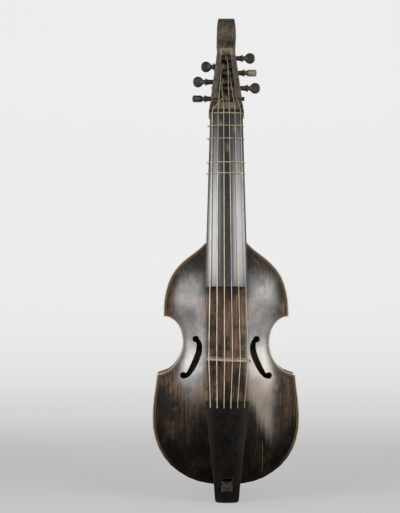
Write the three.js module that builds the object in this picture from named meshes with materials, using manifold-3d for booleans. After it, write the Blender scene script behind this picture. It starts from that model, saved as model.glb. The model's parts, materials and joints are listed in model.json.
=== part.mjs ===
// A treble viol with six strings, standing on end: up is +Z, the belly faces -Y, the flat back faces +Y.
// Sizes are millimetres. The origin lies on the flat back's outer face, at the middle of its lower part.
import * as THREE from 'three';
import Module from 'manifold-3d';
import { mergeVertices } from 'three/addons/utils/BufferGeometryUtils.js';

const wasm = await Module();
wasm.setup();

// Body: lengths up the body start at its lower end
const bodyLength = 358;
const neckRootWidth = 61;
const upperBoutWidth = 185;
const upperBoutLength = 109;
const upperCornerHeight = bodyLength - upperBoutLength;
const waistWidth = 128;
const waistDrop = 38;
const waistHeight = upperCornerHeight - waistDrop;
const waistLength = 86.5;
const lowerCornerHeight = upperCornerHeight - waistLength;
const lowerBoutWidth = 217;
const lowerCornerInset = 12;
const lowerCornerWidth = lowerBoutWidth - lowerCornerInset;
const cornerBlunt = 1.6;
const ribDepth = 66;
const ribThickness = 1.8;
const edgeOverhang = 2.5;
const bellyThickness = 3.5;
const backThickness = 3;
const backSlopeLength = 93;
const backBendHeight = bodyLength - backSlopeLength;
const backSlopeDepth = 20;
const archHeight = 13;
const archRise = 40;
const originHeight = 161;

// Sound holes
const soundHoleWidth = 9.4;
const soundHoleNeck = 5.8;
const soundHoleEye = 9.8;

// Inside the body
const liningWidth = 4;
const liningHeight = 8;
const topBlockDepth = 16;
const tailBlockWidth = 52;
const tailBlockDepth = 15;
const cornerBlockSide = 24;
const bassBarLength = 262;
const bassBarWidth = 5;
const bassBarHeight = 9;
const bassBarOffset = 19;
const soundPostDiameter = 7;
const soundPostOffset = 19;
const soundPostDrop = 12;
const postPlateWidth = 44;
const postPlateThickness = 3;
const braceWidth = 9;
const braceHeight = 7;
const lowerBraceDrop = 65.5;
const lowerBraceHeight = lowerCornerHeight - lowerBraceDrop;
const upperBraceDrop = 16;
const upperBraceHeight = upperCornerHeight - upperBraceDrop;

// Neck, head and fingerboard
const neckLength = 193.2;
const nutHeight = bodyLength + neckLength;
const nutDepth = 58;
const neckAngle = THREE.MathUtils.degToRad(7.8);
const pegboxAngle = THREE.MathUtils.degToRad(12);
const boardWidthAtNut = 48.3;
const boardWidthAtEnd = 63;
const boardLength = 261.5;
const boardEdge = 4;
const boardWedge = 2;
const boardRadius = 62;
const neckDepthAtNut = 17;
const neckDepthAtHeel = 22;
const heelDepth = 65;
const heelLength = 36;
const nutWidth = 51.7;
const nutThickness = 3.7;
const nutRise = 2.4;
const pegboxLength = 105.1;
const pegboxWidthAtNut = 52.7;
const pegboxWidthAtTop = 26.1;
const pegboxDepth = 24;
const pegboxShoulder = 6;
const channelStart = 20.7;
const channelTaperStart = 47.7;
const channelEnd = 100.4;
const channelWidthAtStart = 24.4;
const channelWidthAtEnd = 12.2;
const channelDepth = 19.2;
const channelSlope = 7;
const scrollRadius = 22.7;
const scrollHeight = 131.3;
const scrollWidthAtTop = 21.6;
const scrollWidthAtFront = 29;
const voluteShrinkShare = 0.45;
const voluteTurns = 1.9;
const voluteGroove = 2.6;
const voluteDepth = 1.5;

// Pegs: shares of the pegbox's length, of the reach from cheek to head end, of the tip that stands out of the
// far cheek, and of the channel's half width, where the winding starts
const pegReach = 30;
const pegTip = 4.5;
const pegPlaces = [
  {
    name: 'left_lower', side: -1, string: 0, edgeOn: true,
    alongShare: 0.268, reachShare: 0.937, tipShare: 1, windingShare: -0.26,
  },
  {
    name: 'right_lower', side: 1, string: 5, edgeOn: false,
    alongShare: 0.435, reachShare: 1.007, tipShare: 0.3, windingShare: 0.77,
  },
  {
    name: 'left_middle', side: -1, string: 2, edgeOn: false,
    alongShare: 0.532, reachShare: 1.017, tipShare: 0.12, windingShare: -0.6,
  },
  {
    name: 'right_middle', side: 1, string: 4, edgeOn: true,
    alongShare: 0.674, reachShare: 0.95, tipShare: 0.12, windingShare: 0.41,
  },
  {
    name: 'left_upper', side: -1, string: 1, edgeOn: false,
    alongShare: 0.77, reachShare: 0.723, tipShare: 0.12, windingShare: -0.57,
  },
  {
    name: 'right_upper', side: 1, string: 3, edgeOn: false,
    alongShare: 0.906, reachShare: 0.97, tipShare: 0.12, windingShare: 0.17,
  },
].map((place) => ({
  ...place,
  along: place.alongShare * pegboxLength,
  reach: place.reachShare * pegReach,
  tip: place.tipShare * pegTip,
  windingStart: (place.windingShare * channelWidthAtStart) / 2,
}));
const pegAxisDepth = 12;
const pegShaftDiameter = 7.4;
const pegTaper = 1.2;
const pegRingDiameter = 12;
const pegBeadDiameter = 9.6;
const pegHeadWidth = 16.6;
const pegHeadThickness = 10.5;
const pegHeadLength = 14.5;
const pegClearance = 0.45;

// Strings, bass on the left
const stringDiameters = [1.4, 1.2, 1.05, 0.9, 0.75, 0.6];
const stringSpacingAtNut = 8.3;
const stringSpacingAtBridge = 11.45;
const stringSpacingAtTailpiece = 10;
const windingTurns = 2.75;
const windingGap = 0.55;
const turnSteps = 24;

// Frets: the third is missing on the object
const fretNumbers = [1, 2, 4, 5];
const fretGut = 1;
const fretKnot = 2.8;
const fretTail = 3.4;

// Bridge
const bridgeOverCorner = 24.5;
const bridgeHeight = lowerCornerHeight + bridgeOverCorner;
const bridgeRise = 44;
const bridgeTopWidth = 66;
const bridgeFootWidth = 60;
const bridgeWaistWidth = 44;
const bridgeFootLength = 15;
const bridgeRadius = 62;
const bridgeThickness = 5.4;
const bridgeTopThickness = 2.6;
const bridgeShift = 2.9;
const bridgeTurn = THREE.MathUtils.degToRad(2.3);

// Tailpiece and hook bar
const stringAfterLength = 61.4;
const tailpieceTop = bridgeHeight - stringAfterLength;
const tailpieceBottom = -24.8;
const tailpieceTopDepth = 118;
const tailpieceBottomDepth = 89;
const tailpieceTopWidth = 64.2;
const tailpieceHipWidth = 38.7;
const tailpieceHipHeight = 26;
const tailpieceBottomWidth = 35;
const tailpieceEdge = 3;
const tailpieceCrown = 4.6;
const tailpieceCorner = 4;
const tailpieceShift = 1.6;
const stringHoleDrop = 9;
const stringHoleDiameter = 2.6;
const hookWidth = 13;
const hookHeight = 14.6;
const hookBottom = -7.1;
const hookReach = 1.5;
const hookPoint = 5;
const hookTipShare = 0.08;
const mortiseSlack = 1;
const mortiseSlot = 4.4;

// Fits
const seatGap = 0.3;
const overrun = 30;
const weldTolerance = 1e-4;

// Small tools for shapes

function toSolid(geometry) {
  const bare = geometry.index ? geometry.toNonIndexed() : geometry.clone();
  bare.deleteAttribute('normal');
  bare.deleteAttribute('uv');
  const merged = mergeVertices(bare, weldTolerance);
  return new wasm.Manifold(new wasm.Mesh({
    numProp: 3,
    vertProperties: new Float32Array(merged.attributes.position.array),
    triVerts: new Uint32Array(merged.index.array),
  }));
}

function fromSolid(solid) {
  const mesh = solid.getMesh();
  const geometry = new THREE.BufferGeometry();
  const positions = new Float32Array(mesh.numVert * 3);
  for (let i = 0; i < mesh.numVert; i += 1) {
    for (let axis = 0; axis < 3; axis += 1) {
      positions[3 * i + axis] = mesh.vertProperties[mesh.numProp * i + axis];
    }
  }
  geometry.setAttribute('position', new THREE.BufferAttribute(positions, 3));
  geometry.setIndex(Array.from(mesh.triVerts));
  geometry.computeVertexNormals();
  return geometry;
}

function cut(geometry, ...cutters) {
  return fromSolid(cutters.reduce((solid, cutter) => solid.subtract(toSolid(cutter)), toSolid(geometry)));
}

function join(geometry, ...others) {
  return fromSolid(others.reduce((solid, other) => solid.add(toSolid(other)), toSolid(geometry)));
}

function common(geometry, other) {
  return fromSolid(toSolid(geometry).intersect(toSolid(other)));
}

// A box from its lowest to its highest corner
function box(x0, x1, y0, y1, z0, z1) {
  const geometry = new THREE.BoxGeometry(x1 - x0, y1 - y0, z1 - z0);
  return geometry.translate((x0 + x1) / 2, (y0 + y1) / 2, (z0 + z1) / 2);
}

// An outline in x and z, carried along y from y0 to y1
function frontPrism(points, y0, y1, holes = []) {
  const shape = new THREE.Shape(points);
  shape.holes = holes;
  const geometry = new THREE.ExtrudeGeometry(shape, { depth: y1 - y0, bevelEnabled: false });
  return geometry.rotateX(Math.PI / 2).translate(0, y1, 0);
}

// An outline in y and z, carried along x from x0 to x1
function sidePrism(points, x0, x1) {
  const settings = { depth: x1 - x0, bevelEnabled: false };
  const geometry = new THREE.ExtrudeGeometry(new THREE.Shape(points), settings);
  const turn = new THREE.Matrix4().set(0, 0, 1, 0, 1, 0, 0, 0, 0, 1, 0, 0, 0, 0, 0, 1);
  return geometry.applyMatrix4(turn).translate(x0, 0, 0);
}

// A closed skin over sections that all have the same number of points
function loft(sections) {
  const count = sections[0].length;
  const positions = sections.flat().flatMap((point) => [point.x, point.y, point.z]);
  const index = [];
  for (let s = 0; s + 1 < sections.length; s += 1) {
    for (let i = 0; i < count; i += 1) {
      const a = s * count + i;
      const b = s * count + ((i + 1) % count);
      index.push(a, b, b + count, a, b + count, a + count);
    }
  }
  const last = (sections.length - 1) * count;
  for (let i = 1; i + 1 < count; i += 1) {
    index.push(0, i + 1, i, last, last + i, last + i + 1);
  }
  return closedSkin(positions, index);
}

// Turns a closed skin inside out when its faces point inwards
function closedSkin(positions, index) {
  const corner = (i) => new THREE.Vector3().fromArray(positions, 3 * index[i]);
  let volume = 0;
  for (let i = 0; i < index.length; i += 3) {
    volume += corner(i).dot(corner(i + 1).cross(corner(i + 2)));
  }
  const faces = volume > 0 ? index : index.slice().reverse();
  const geometry = new THREE.BufferGeometry();
  geometry.setAttribute('position', new THREE.Float32BufferAttribute(positions, 3));
  geometry.setIndex(faces);
  return geometry;
}

// The same skin with its shared corners merged and its faces pointing out
function facedOut(geometry) {
  const bare = geometry.clone().deleteAttribute('normal').deleteAttribute('uv');
  const merged = mergeVertices(bare, weldTolerance);
  const corners = Array.from(merged.index.array);
  const kept = [];
  for (let i = 0; i < corners.length; i += 3) {
    const [a, b, c] = corners.slice(i, i + 3);
    if (a !== b && b !== c && c !== a) {
      kept.push(a, b, c);
    }
  }
  return closedSkin(Array.from(merged.attributes.position.array), kept);
}

// A round tube along a line of points, with flat ends, or closed on itself
function tube(points, diameter, sides, closed = false) {
  const count = points.length;
  const at = (i) => (closed ? points[(i + count) % count] : points[Math.min(Math.max(i, 0), count - 1)]);
  const heading = (i) => {
    const before = at(i).clone().sub(at(i - 1)).normalize();
    const after = at(i + 1).clone().sub(at(i)).normalize();
    return before.add(after).normalize();
  };
  const start = heading(0);
  const runsAcross = Math.abs(start.x) > Math.abs(start.z);
  const most = runsAcross ? new THREE.Vector3(0, 0, 1) : new THREE.Vector3(1, 0, 0);
  let across = most.sub(start.clone().multiplyScalar(most.dot(start))).normalize();
  const rings = points.map((point, i) => {
    const along = heading(i);
    across = across.clone().sub(along.clone().multiplyScalar(across.dot(along))).normalize();
    const beside = along.clone().cross(across);
    return Array.from({ length: sides }, (_, k) => {
      const angle = (2 * Math.PI * k) / sides;
      const out = across.clone().multiplyScalar(Math.cos(angle)).addScaledVector(beside, Math.sin(angle));
      return point.clone().addScaledVector(out, diameter / 2);
    });
  });
  if (!closed) {
    return loft(rings);
  }
  const positions = rings.flat().flatMap((point) => [point.x, point.y, point.z]);
  const index = [];
  for (let s = 0; s < count; s += 1) {
    for (let i = 0; i < sides; i += 1) {
      const a = s * sides + i;
      const b = s * sides + ((i + 1) % sides);
      const next = ((s + 1) % count) * sides;
      index.push(a, b, next + ((i + 1) % sides), a, next + ((i + 1) % sides), next + i);
    }
  }
  return closedSkin(positions, index);
}

function cylinderAlongX(diameterAtStart, diameterAtEnd, x0, x1, sides) {
  const geometry = new THREE.CylinderGeometry(diameterAtEnd / 2, diameterAtStart / 2, x1 - x0, sides);
  return geometry.rotateZ(-Math.PI / 2).translate((x0 + x1) / 2, 0, 0);
}

function mix(a, b, share) {
  return a + (b - a) * share;
}

function mirrored(points) {
  return points.map((point) => new THREE.Vector2(-point.x, point.y));
}

// Outline of the right half, from the neck down: points are x and height

const upperBoutShares = [
  [0.418, 0.926], [0.538, 0.845], [0.663, 0.763], [0.791, 0.654], [0.88, 0.54],
  [0.933, 0.43], [0.974, 0.292], [0.995, 0.155], [1, 0],
];
const upperWaistShares = [
  [1, 1], [0.672, 0.96], [0.5, 0.881], [0.293, 0.719], [0.155, 0.559], [0.06, 0.359], [0, 0],
];
const lowerWaistShares = [
  [0.026, 0.187], [0.092, 0.379], [0.197, 0.56], [0.368, 0.747], [0.553, 0.872], [0.724, 0.933], [1, 1],
];
const lowerBoutShares = [
  [0.957, 0.921], [0.985, 0.774], [1, 0.604], [0.9935, 0.516], [0.974, 0.442], [0.938, 0.369],
  [0.887, 0.295], [0.808, 0.221], [0.7, 0.148], [0.532, 0.0735], [0.406, 0.0368], [0.205, 0.0087], [0.1, 0],
];

function smoothLine(points, steps) {
  return new THREE.SplineCurve(points).getSpacedPoints(steps);
}

function upperBoutLine() {
  const foot = upperCornerHeight + cornerBlunt;
  const points = upperBoutShares.map(([out, up]) => new THREE.Vector2(
    out * upperBoutWidth / 2, mix(foot, bodyLength, up),
  ));
  return smoothLine([new THREE.Vector2(neckRootWidth / 2, bodyLength), ...points], 11);
}

function waistLine() {
  const upper = upperWaistShares.map(([out, up]) => new THREE.Vector2(
    mix(waistWidth, upperBoutWidth, out) / 2, mix(waistHeight, upperCornerHeight, up),
  ));
  const lower = lowerWaistShares.map(([out, down]) => new THREE.Vector2(
    mix(waistWidth, lowerCornerWidth, out) / 2, mix(waistHeight, lowerCornerHeight, down),
  ));
  return smoothLine([...upper, ...lower], 14);
}

function lowerBoutLine() {
  const head = lowerCornerHeight - cornerBlunt;
  const points = lowerBoutShares.map(([out, up]) => new THREE.Vector2(out * lowerBoutWidth / 2, head * up));
  return smoothLine([new THREE.Vector2(lowerCornerWidth / 2, head), ...points], 14);
}

const boutLines = { upper: upperBoutLine(), middle: waistLine(), lower: lowerBoutLine() };
const halfOutline = [...boutLines.upper, ...boutLines.middle, ...boutLines.lower];

function edgeDistance(x, height) {
  const here = new THREE.Vector2(Math.abs(x), height);
  const nearest = (a, b) => {
    const side = b.clone().sub(a);
    const share = THREE.MathUtils.clamp(here.clone().sub(a).dot(side) / side.lengthSq(), 0, 1);
    return here.distanceTo(a.clone().addScaledVector(side, share));
  };
  const closed = [new THREE.Vector2(0, bodyLength), ...halfOutline, new THREE.Vector2(0, 0)];
  return Math.min(...closed.slice(1).map((point, i) => nearest(closed[i], point)));
}

// How far the belly's arch stands over its edge
function arch(x, height) {
  const rise = Math.min(1, edgeDistance(x, height) / archRise);
  const across = Math.cos((Math.PI / 2) * Math.min(1, Math.abs(x) / (lowerBoutWidth / 2)));
  return archHeight * across * Math.sin((Math.PI / 2) * rise) ** 2;
}

const bellySeat = -(backThickness + ribDepth);
const bellyFace = bellySeat - bellyThickness;

function bellyOuter(x, height) {
  return bellyFace - arch(x, height);
}

// How far the back leans in above its bend
function backLean(height) {
  return backSlopeDepth * Math.max(0, (height - backBendHeight) / (bodyLength - backBendHeight));
}

// A plate over the outline: rows follow the outline, columns are shares of its width
const plateColumnShares = [-1, -0.9, -0.72, -0.5, -0.25, 0, 0.25, 0.5, 0.72, 0.9, 1];

function plate(rows, columns, outerFace, innerFace) {
  const positions = [];
  for (const face of [outerFace, innerFace]) {
    for (const row of rows) {
      for (const share of columns) {
        positions.push(share * row.x, face(share * row.x, row.y), row.y);
      }
    }
  }
  const width = columns.length;
  const size = rows.length * width;
  const index = [];
  const quad = (a, b, c, d) => index.push(a, b, c, a, c, d);
  for (let r = 0; r + 1 < rows.length; r += 1) {
    for (let c = 0; c + 1 < width; c += 1) {
      const a = r * width + c;
      quad(a, a + 1, a + 1 + width, a + width);
      quad(size + a, size + a + width, size + a + 1 + width, size + a + 1);
    }
    const left = r * width;
    const right = left + width - 1;
    quad(left, left + width, size + left + width, size + left);
    quad(right, size + right, size + right + width, right + width);
  }
  for (let c = 0; c + 1 < width; c += 1) {
    const bottom = (rows.length - 1) * width + c;
    quad(c, size + c, size + c + 1, c + 1);
    quad(bottom, bottom + 1, size + bottom + 1, size + bottom);
  }
  return closedSkin(positions, index);
}

// Sound holes: a C that opens outwards, with a round eye at each end. Shares of the waist's half width and of
// the height from the lower corner to the waist
const soundHoleLineShares = [
  [0.7, 1.095], [0.645, 1.033], [0.616, 0.887], [0.631, 0.691], [0.673, 0.526], [0.763, 0.258],
  [0.86, 0.05], [0.935, -0.04], [0.985, -0.012],
];
const soundHoleWidthShares = [0, 0.2, 0.75, 1, 1, 0.9, 0.4, 0, 0];

function soundHoleCutter(side) {
  const line = soundHoleLineShares.map(([out, up]) => new THREE.Vector2(
    (side * out * waistWidth) / 2, mix(lowerCornerHeight, waistHeight, up),
  ));
  const wide = (i) => mix(soundHoleNeck, soundHoleWidth, soundHoleWidthShares[i]) / 2;
  const normal = (i) => {
    const before = line[Math.max(i - 1, 0)];
    const after = line[Math.min(i + 1, line.length - 1)];
    const along = after.clone().sub(before).normalize();
    return new THREE.Vector2(-along.y, along.x);
  };
  const edge = (sign) => line.map((point, i) => point.clone().addScaledVector(normal(i), sign * wide(i)));
  const front = bellyFace - archHeight - overrun;
  const stroke = frontPrism([...edge(1), ...edge(-1).reverse()], front, bellySeat + overrun);
  const eyes = [line[0], line[line.length - 1]].map((point) => {
    const eyeDepth = bellySeat + overrun - front;
    const eye = new THREE.CylinderGeometry(soundHoleEye / 2, soundHoleEye / 2, eyeDepth, 16);
    return eye.translate(point.x, (front + bellySeat + overrun) / 2, point.y);
  });
  return join(stroke, ...eyes);
}

// Ribs, blocks and linings follow lines inside the outline

function offsetLine(line, distance) {
  return line.map((point, i) => {
    const before = line[Math.max(i - 1, 0)];
    const after = line[Math.min(i + 1, line.length - 1)];
    const along = after.clone().sub(before).normalize();
    return point.clone().add(new THREE.Vector2(along.y, -along.x).multiplyScalar(distance));
  });
}

// Half the outline's width at a height
function outlineHalf(height) {
  const above = halfOutline.filter((point) => point.y >= height).at(-1);
  const below = halfOutline.find((point) => point.y < height);
  return mix(below.x, above.x, (height - below.y) / (above.y - below.y));
}

function strip(line, outerInset, innerInset, y0, y1, side) {
  const points = [...offsetLine(line, outerInset), ...offsetLine(line, innerInset).reverse()];
  return frontPrism(side > 0 ? points : mirrored(points), y0, y1);
}

// All that lies behind the back's inner face, shifted forwards by a depth
function behindBack(depth) {
  const inner = -backThickness - depth;
  const top = bodyLength + overrun;
  return sidePrism([
    new THREE.Vector2(inner, -overrun), new THREE.Vector2(overrun, -overrun),
    new THREE.Vector2(overrun, top),
    new THREE.Vector2(inner - backLean(top), top), new THREE.Vector2(inner, backBendHeight),
  ], -lowerBoutWidth, lowerBoutWidth);
}

const ribInner = edgeOverhang + ribThickness;
const hookTop = hookBottom + hookHeight;
const hookSide = hookWidth / 2 + seatGap;

function hookNotch(clearance) {
  return box(
    tailpieceShift - hookWidth / 2 - clearance, tailpieceShift + hookWidth / 2 + clearance,
    bellyFace - archHeight - overrun, -backThickness, -overrun, hookTop + clearance,
  );
}

function ribLine(bout) {
  if (bout !== 'lower') {
    return boutLines[bout];
  }
  return [...boutLines.lower, new THREE.Vector2(0, 0)];
}

// Space that the ribs of one bout take, from the outline's outside to their inner face
function outsideRib(bout, side, clearance) {
  return strip(ribLine(bout), -overrun / 3, ribInner + clearance, bellySeat - overrun, overrun, side);
}

function rib(bout, side) {
  const ribSolid = strip(ribLine(bout), edgeOverhang, ribInner, bellySeat, -backThickness, side);
  const cutters = [behindBack(seatGap)];
  const reach = side * overrun;
  const span = (x0, x1) => [Math.min(x0, x1), Math.max(x0, x1)];
  if (bout === 'middle') {
    const upperLimit = side * (upperBoutWidth / 2 - ribInner - seatGap);
    const lowerLimit = side * (lowerCornerWidth / 2 - ribInner - seatGap);
    const upperSpan = span(upperLimit, upperLimit + reach);
    const lowerSpan = span(lowerLimit, lowerLimit + reach);
    cutters.push(box(...upperSpan, bellySeat - overrun, overrun, waistHeight, bodyLength));
    cutters.push(box(...lowerSpan, bellySeat - overrun, overrun, 0, waistHeight));
  }
  if (bout === 'upper') {
    const foot = upperCornerHeight + edgeOverhang;
    cutters.push(box(-upperBoutWidth, upperBoutWidth, bellySeat - overrun, overrun, waistHeight, foot));
  }
  if (bout === 'lower') {
    const head = lowerCornerHeight - edgeOverhang;
    cutters.push(box(-lowerBoutWidth, lowerBoutWidth, bellySeat - overrun, overrun, head, waistHeight));
    cutters.push(hookNotch(seatGap));
    const otherSide = span(0, -side * lowerBoutWidth);
    cutters.push(box(...otherSide, bellySeat - overrun, overrun, -overrun, waistHeight));
  }
  return cut(ribSolid, ...cutters);
}

const topBlockHeight = bodyLength - topBlockDepth;
const tailBlockHeight = tailBlockDepth + ribInner;

function topBlock() {
  const half = neckRootWidth / 2;
  const block = box(-half, half, bellySeat, -backThickness, topBlockHeight, bodyLength);
  return cut(block, behindBack(seatGap), outsideRib('upper', 1, seatGap), outsideRib('upper', -1, seatGap));
}

function tailBlock() {
  const half = tailBlockWidth / 2;
  const block = box(-half, half, bellySeat, -backThickness, 0, tailBlockHeight);
  return cut(block, outsideRib('lower', 1, seatGap), outsideRib('lower', -1, seatGap), hookNotch(seatGap));
}

// The box in which a corner block lies, grown all round, and more towards the rib
function cornerBox(corner, side, grow, outer) {
  const upper = corner === 'upper';
  const wall = (upper ? upperBoutWidth : lowerCornerWidth) / 2 - ribInner - seatGap;
  const [low, high] = upper
    ? [upperCornerHeight, upperCornerHeight + cornerBlockSide]
    : [lowerCornerHeight - cornerBlockSide, lowerCornerHeight];
  const x0 = side * (wall - cornerBlockSide - grow);
  const x1 = side * (wall + outer);
  return box(Math.min(x0, x1), Math.max(x0, x1), bellySeat, -backThickness, low - grow, high + grow);
}

function cornerBlock(corner, side) {
  const cutters = [
    outsideRib(corner, side, seatGap), outsideRib('middle', side, seatGap), behindBack(seatGap),
  ];
  return cut(cornerBox(corner, side, 0, 0), ...cutters);
}

function lining(bout, side, atBelly) {
  const line = ribLine(bout);
  const outer = ribInner + seatGap;
  const front = strip(line, outer, outer + liningWidth, bellySeat, -backThickness, side);
  const level = bellySeat + liningHeight;
  const depthCut = atBelly
    ? [box(-lowerBoutWidth, lowerBoutWidth, level, overrun, -overrun, bodyLength + overrun)]
    : [behindBack(seatGap)];
  const half = neckRootWidth / 2 + seatGap;
  const tailHalf = tailBlockWidth / 2 + seatGap;
  const blocks = {
    upper: [cornerBox('upper', side, seatGap, overrun),
      box(-half, half, bellySeat, -backThickness, topBlockHeight - seatGap, bodyLength + overrun)],
    middle: [cornerBox('upper', side, seatGap, overrun), cornerBox('lower', side, seatGap, overrun)],
    lower: [cornerBox('lower', side, seatGap, overrun),
      box(-tailHalf, tailHalf, bellySeat, -backThickness, -overrun, tailBlockHeight + seatGap)],
  };
  const cornerWall = {
    upper: [outsideRib('middle', side, seatGap)],
    middle: [outsideRib('upper', side, seatGap), outsideRib('lower', side, seatGap)],
    lower: [outsideRib('middle', side, seatGap)],
  };
  const ring = cut(front, ...depthCut, ...blocks[bout], ...cornerWall[bout]);
  return atBelly ? ring : common(ring, behindBack(seatGap + liningHeight));
}

// Belly and back

function bellyInner(x, height) {
  return bellySeat - arch(x, height);
}

const bellyBlank = plate(halfOutline, plateColumnShares, bellyOuter, bellyInner);

// All that lies in front of the belly's inner face, to seat what stands inside
function seatUnderBelly(gap) {
  const far = bellyFace - archHeight - overrun;
  return plate(halfOutline, plateColumnShares, () => far, (x, height) => bellyInner(x, height) + gap);
}

// All that lies behind the belly's outer face, to seat what stands on it
function seatOnBelly(gap) {
  return plate(halfOutline, plateColumnShares, (x, height) => bellyOuter(x, height) - gap, () => bellySeat);
}

function belly() {
  return cut(bellyBlank, soundHoleCutter(1), soundHoleCutter(-1), hookNotch(seatGap));
}

function back() {
  const bend = new THREE.Vector2(outlineHalf(backBendHeight), backBendHeight);
  const rows = [...halfOutline, bend].sort((above, below) => below.y - above.y);
  const outer = (x, height) => -backLean(height);
  return plate(rows, [-1, 1], (x, height) => outer(x, height) - backThickness, outer);
}

// The bass bar hangs under the belly, left of the middle, the sound post stands under the bridge's right foot

function bassBar() {
  const middle = bodyLength / 2;
  const ends = [middle - bassBarLength / 2, middle + bassBarLength / 2];
  const deep = bellySeat + bassBarHeight;
  const bar = sidePrism([
    new THREE.Vector2(bellySeat - archHeight, ends[0]), new THREE.Vector2(bellySeat, ends[0]),
    new THREE.Vector2(deep - archHeight / 2, middle - bassBarLength / 4),
    new THREE.Vector2(deep - archHeight / 2, middle + bassBarLength / 4),
    new THREE.Vector2(bellySeat, ends[1]), new THREE.Vector2(bellySeat - archHeight, ends[1]),
  ], -bassBarOffset - bassBarWidth / 2, -bassBarOffset + bassBarWidth / 2);
  return cut(bar, seatUnderBelly(seatGap));
}

const soundPostHeight = bridgeHeight - soundPostDrop;

function soundPost() {
  const length = ribDepth + archHeight;
  const post = new THREE.CylinderGeometry(soundPostDiameter / 2, soundPostDiameter / 2, length, 12);
  const postMiddle = backThickness + postPlateThickness + seatGap + length / 2;
  post.translate(soundPostOffset, -postMiddle, soundPostHeight);
  return cut(post, seatUnderBelly(seatGap));
}

// Half the clear width between the linings, over a stretch of the body's height
function clearHalf(low, high) {
  const inset = ribInner + seatGap + liningWidth + seatGap;
  const steps = 8;
  const halves = Array.from({ length: steps + 1 }, (_, i) => outlineHalf(mix(low, high, i / steps)));
  return Math.min(...halves) - inset;
}

function backBar(middle, width, height) {
  const half = clearHalf(middle - width / 2, middle + width / 2);
  return box(-half, half, -backThickness - height, -backThickness, middle - width / 2, middle + width / 2);
}

// Frames that turn the neck and the pegbox back from the belly's plane

const neckFrame = new THREE.Matrix4().makeTranslation(0, -nutDepth, nutHeight)
  .multiply(new THREE.Matrix4().makeRotationX(-neckAngle));
const pegboxTurn = new THREE.Matrix4().makeRotationX(-pegboxAngle);
const pegboxFrame = neckFrame.clone().multiply(pegboxTurn);

function boardWidth(along) {
  return mix(boardWidthAtNut, boardWidthAtEnd, -along / boardLength);
}

function boardThickness(along) {
  return mix(boardEdge, boardEdge + boardWedge, -along / boardLength);
}

function sagitta(halfWidth, radius) {
  return radius - Math.sqrt(radius ** 2 - halfWidth ** 2);
}

// Section of the fingerboard: flat below, a low arc above, seen along the neck
function boardSection(along, grow) {
  const half = boardWidth(along) / 2 + grow;
  const edge = boardThickness(along) + grow;
  const steps = 10;
  const points = [new THREE.Vector3(-half, -seatGap, along), new THREE.Vector3(half, -seatGap, along)];
  for (let i = 0; i <= steps; i += 1) {
    const x = half * (1 - (2 * i) / steps);
    const rise = sagitta(half, boardRadius) - sagitta(Math.abs(x), boardRadius);
    points.push(new THREE.Vector3(x, -edge - rise, along));
  }
  return points;
}

function fingerboard() {
  return loft([boardSection(-boardLength, 0), boardSection(-seatGap, 0)]);
}

// Section of the neck: flat on top, round behind
function neckSection(along, width, depth) {
  const steps = 12;
  return Array.from({ length: steps + 1 }, (_, i) => {
    const angle = (Math.PI * i) / steps;
    return new THREE.Vector3((width / 2) * Math.cos(angle), depth * Math.sin(angle), along);
  });
}

const heelStart = -(nutHeight - bodyLength) / Math.cos(neckAngle) + heelLength;

function neckDepth(along) {
  return mix(neckDepthAtNut, neckDepthAtHeel, Math.min(1, along / heelStart));
}

const heelShares = [[0, 0], [0.3, 0.07], [0.55, 0.24], [0.75, 0.5], [0.9, 0.8], [1, 1], [1.25, 1.06]];

function neckShaft() {
  const places = [0, 0.5].map((share) => share * heelStart);
  const sections = places.map((along) => neckSection(along, boardWidth(along), neckDepth(along)));
  for (const [down, deep] of heelShares) {
    const along = heelStart - heelLength * down;
    sections.push(neckSection(along, boardWidth(along), mix(neckDepthAtHeel, heelDepth, deep)));
  }
  const shaft = loft(sections);
  const below = box(
    -lowerBoutWidth, lowerBoutWidth, bellyFace - overrun - overrun, overrun, 0, bodyLength + seatGap,
  ).applyMatrix4(neckFrame.clone().invert());
  return cut(shaft, below);
}

const headShares = [
  [0, 0], [0.08, 0.24], [0.22, 0.5], [0.37, 0.7], [0.52, 0.86], [0.67, 0.96], [0.78, 1], [0.89, 0.87],
  [0.97, 0.5],
];

// The head and pegbox seen from the front, drawn in by an inset at the sides
function headOutline(inset) {
  const top = scrollHeight + scrollRadius;
  const chin = scrollHeight - scrollRadius;
  const right = headShares.map(([down, wide]) => new THREE.Vector2(
    mix(scrollWidthAtTop, scrollWidthAtFront, wide) / 2 - inset, mix(top, chin, down),
  ));
  right.push(new THREE.Vector2(pegboxWidthAtTop / 2 - inset, pegboxLength));
  right.push(new THREE.Vector2(pegboxWidthAtNut / 2 - inset, 0));
  right.push(new THREE.Vector2(boardWidthAtNut / 2 - inset, -pegboxShoulder));
  return [...right, ...mirrored(right).reverse()];
}

const scrollArc = 1.42 * Math.PI;

// Side view of the pegbox and scroll: y is depth behind the pegbox's rim
function headProfile() {
  const centre = new THREE.Vector2(pegboxDepth - scrollRadius, scrollHeight);
  const arcSteps = 22;
  const points = [
    new THREE.Vector2(0, -pegboxShoulder),
    new THREE.Vector2(neckDepthAtNut - pegboxShoulder / 2, -pegboxShoulder),
    new THREE.Vector2(pegboxDepth, pegboxShoulder),
  ];
  for (let i = 0; i <= arcSteps; i += 1) {
    const angle = (scrollArc * i) / arcSteps;
    points.push(new THREE.Vector2(
      centre.x + scrollRadius * Math.cos(angle), centre.y + scrollRadius * Math.sin(angle),
    ));
  }
  points.push(new THREE.Vector2(0, pegboxLength));
  return points;
}

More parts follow.
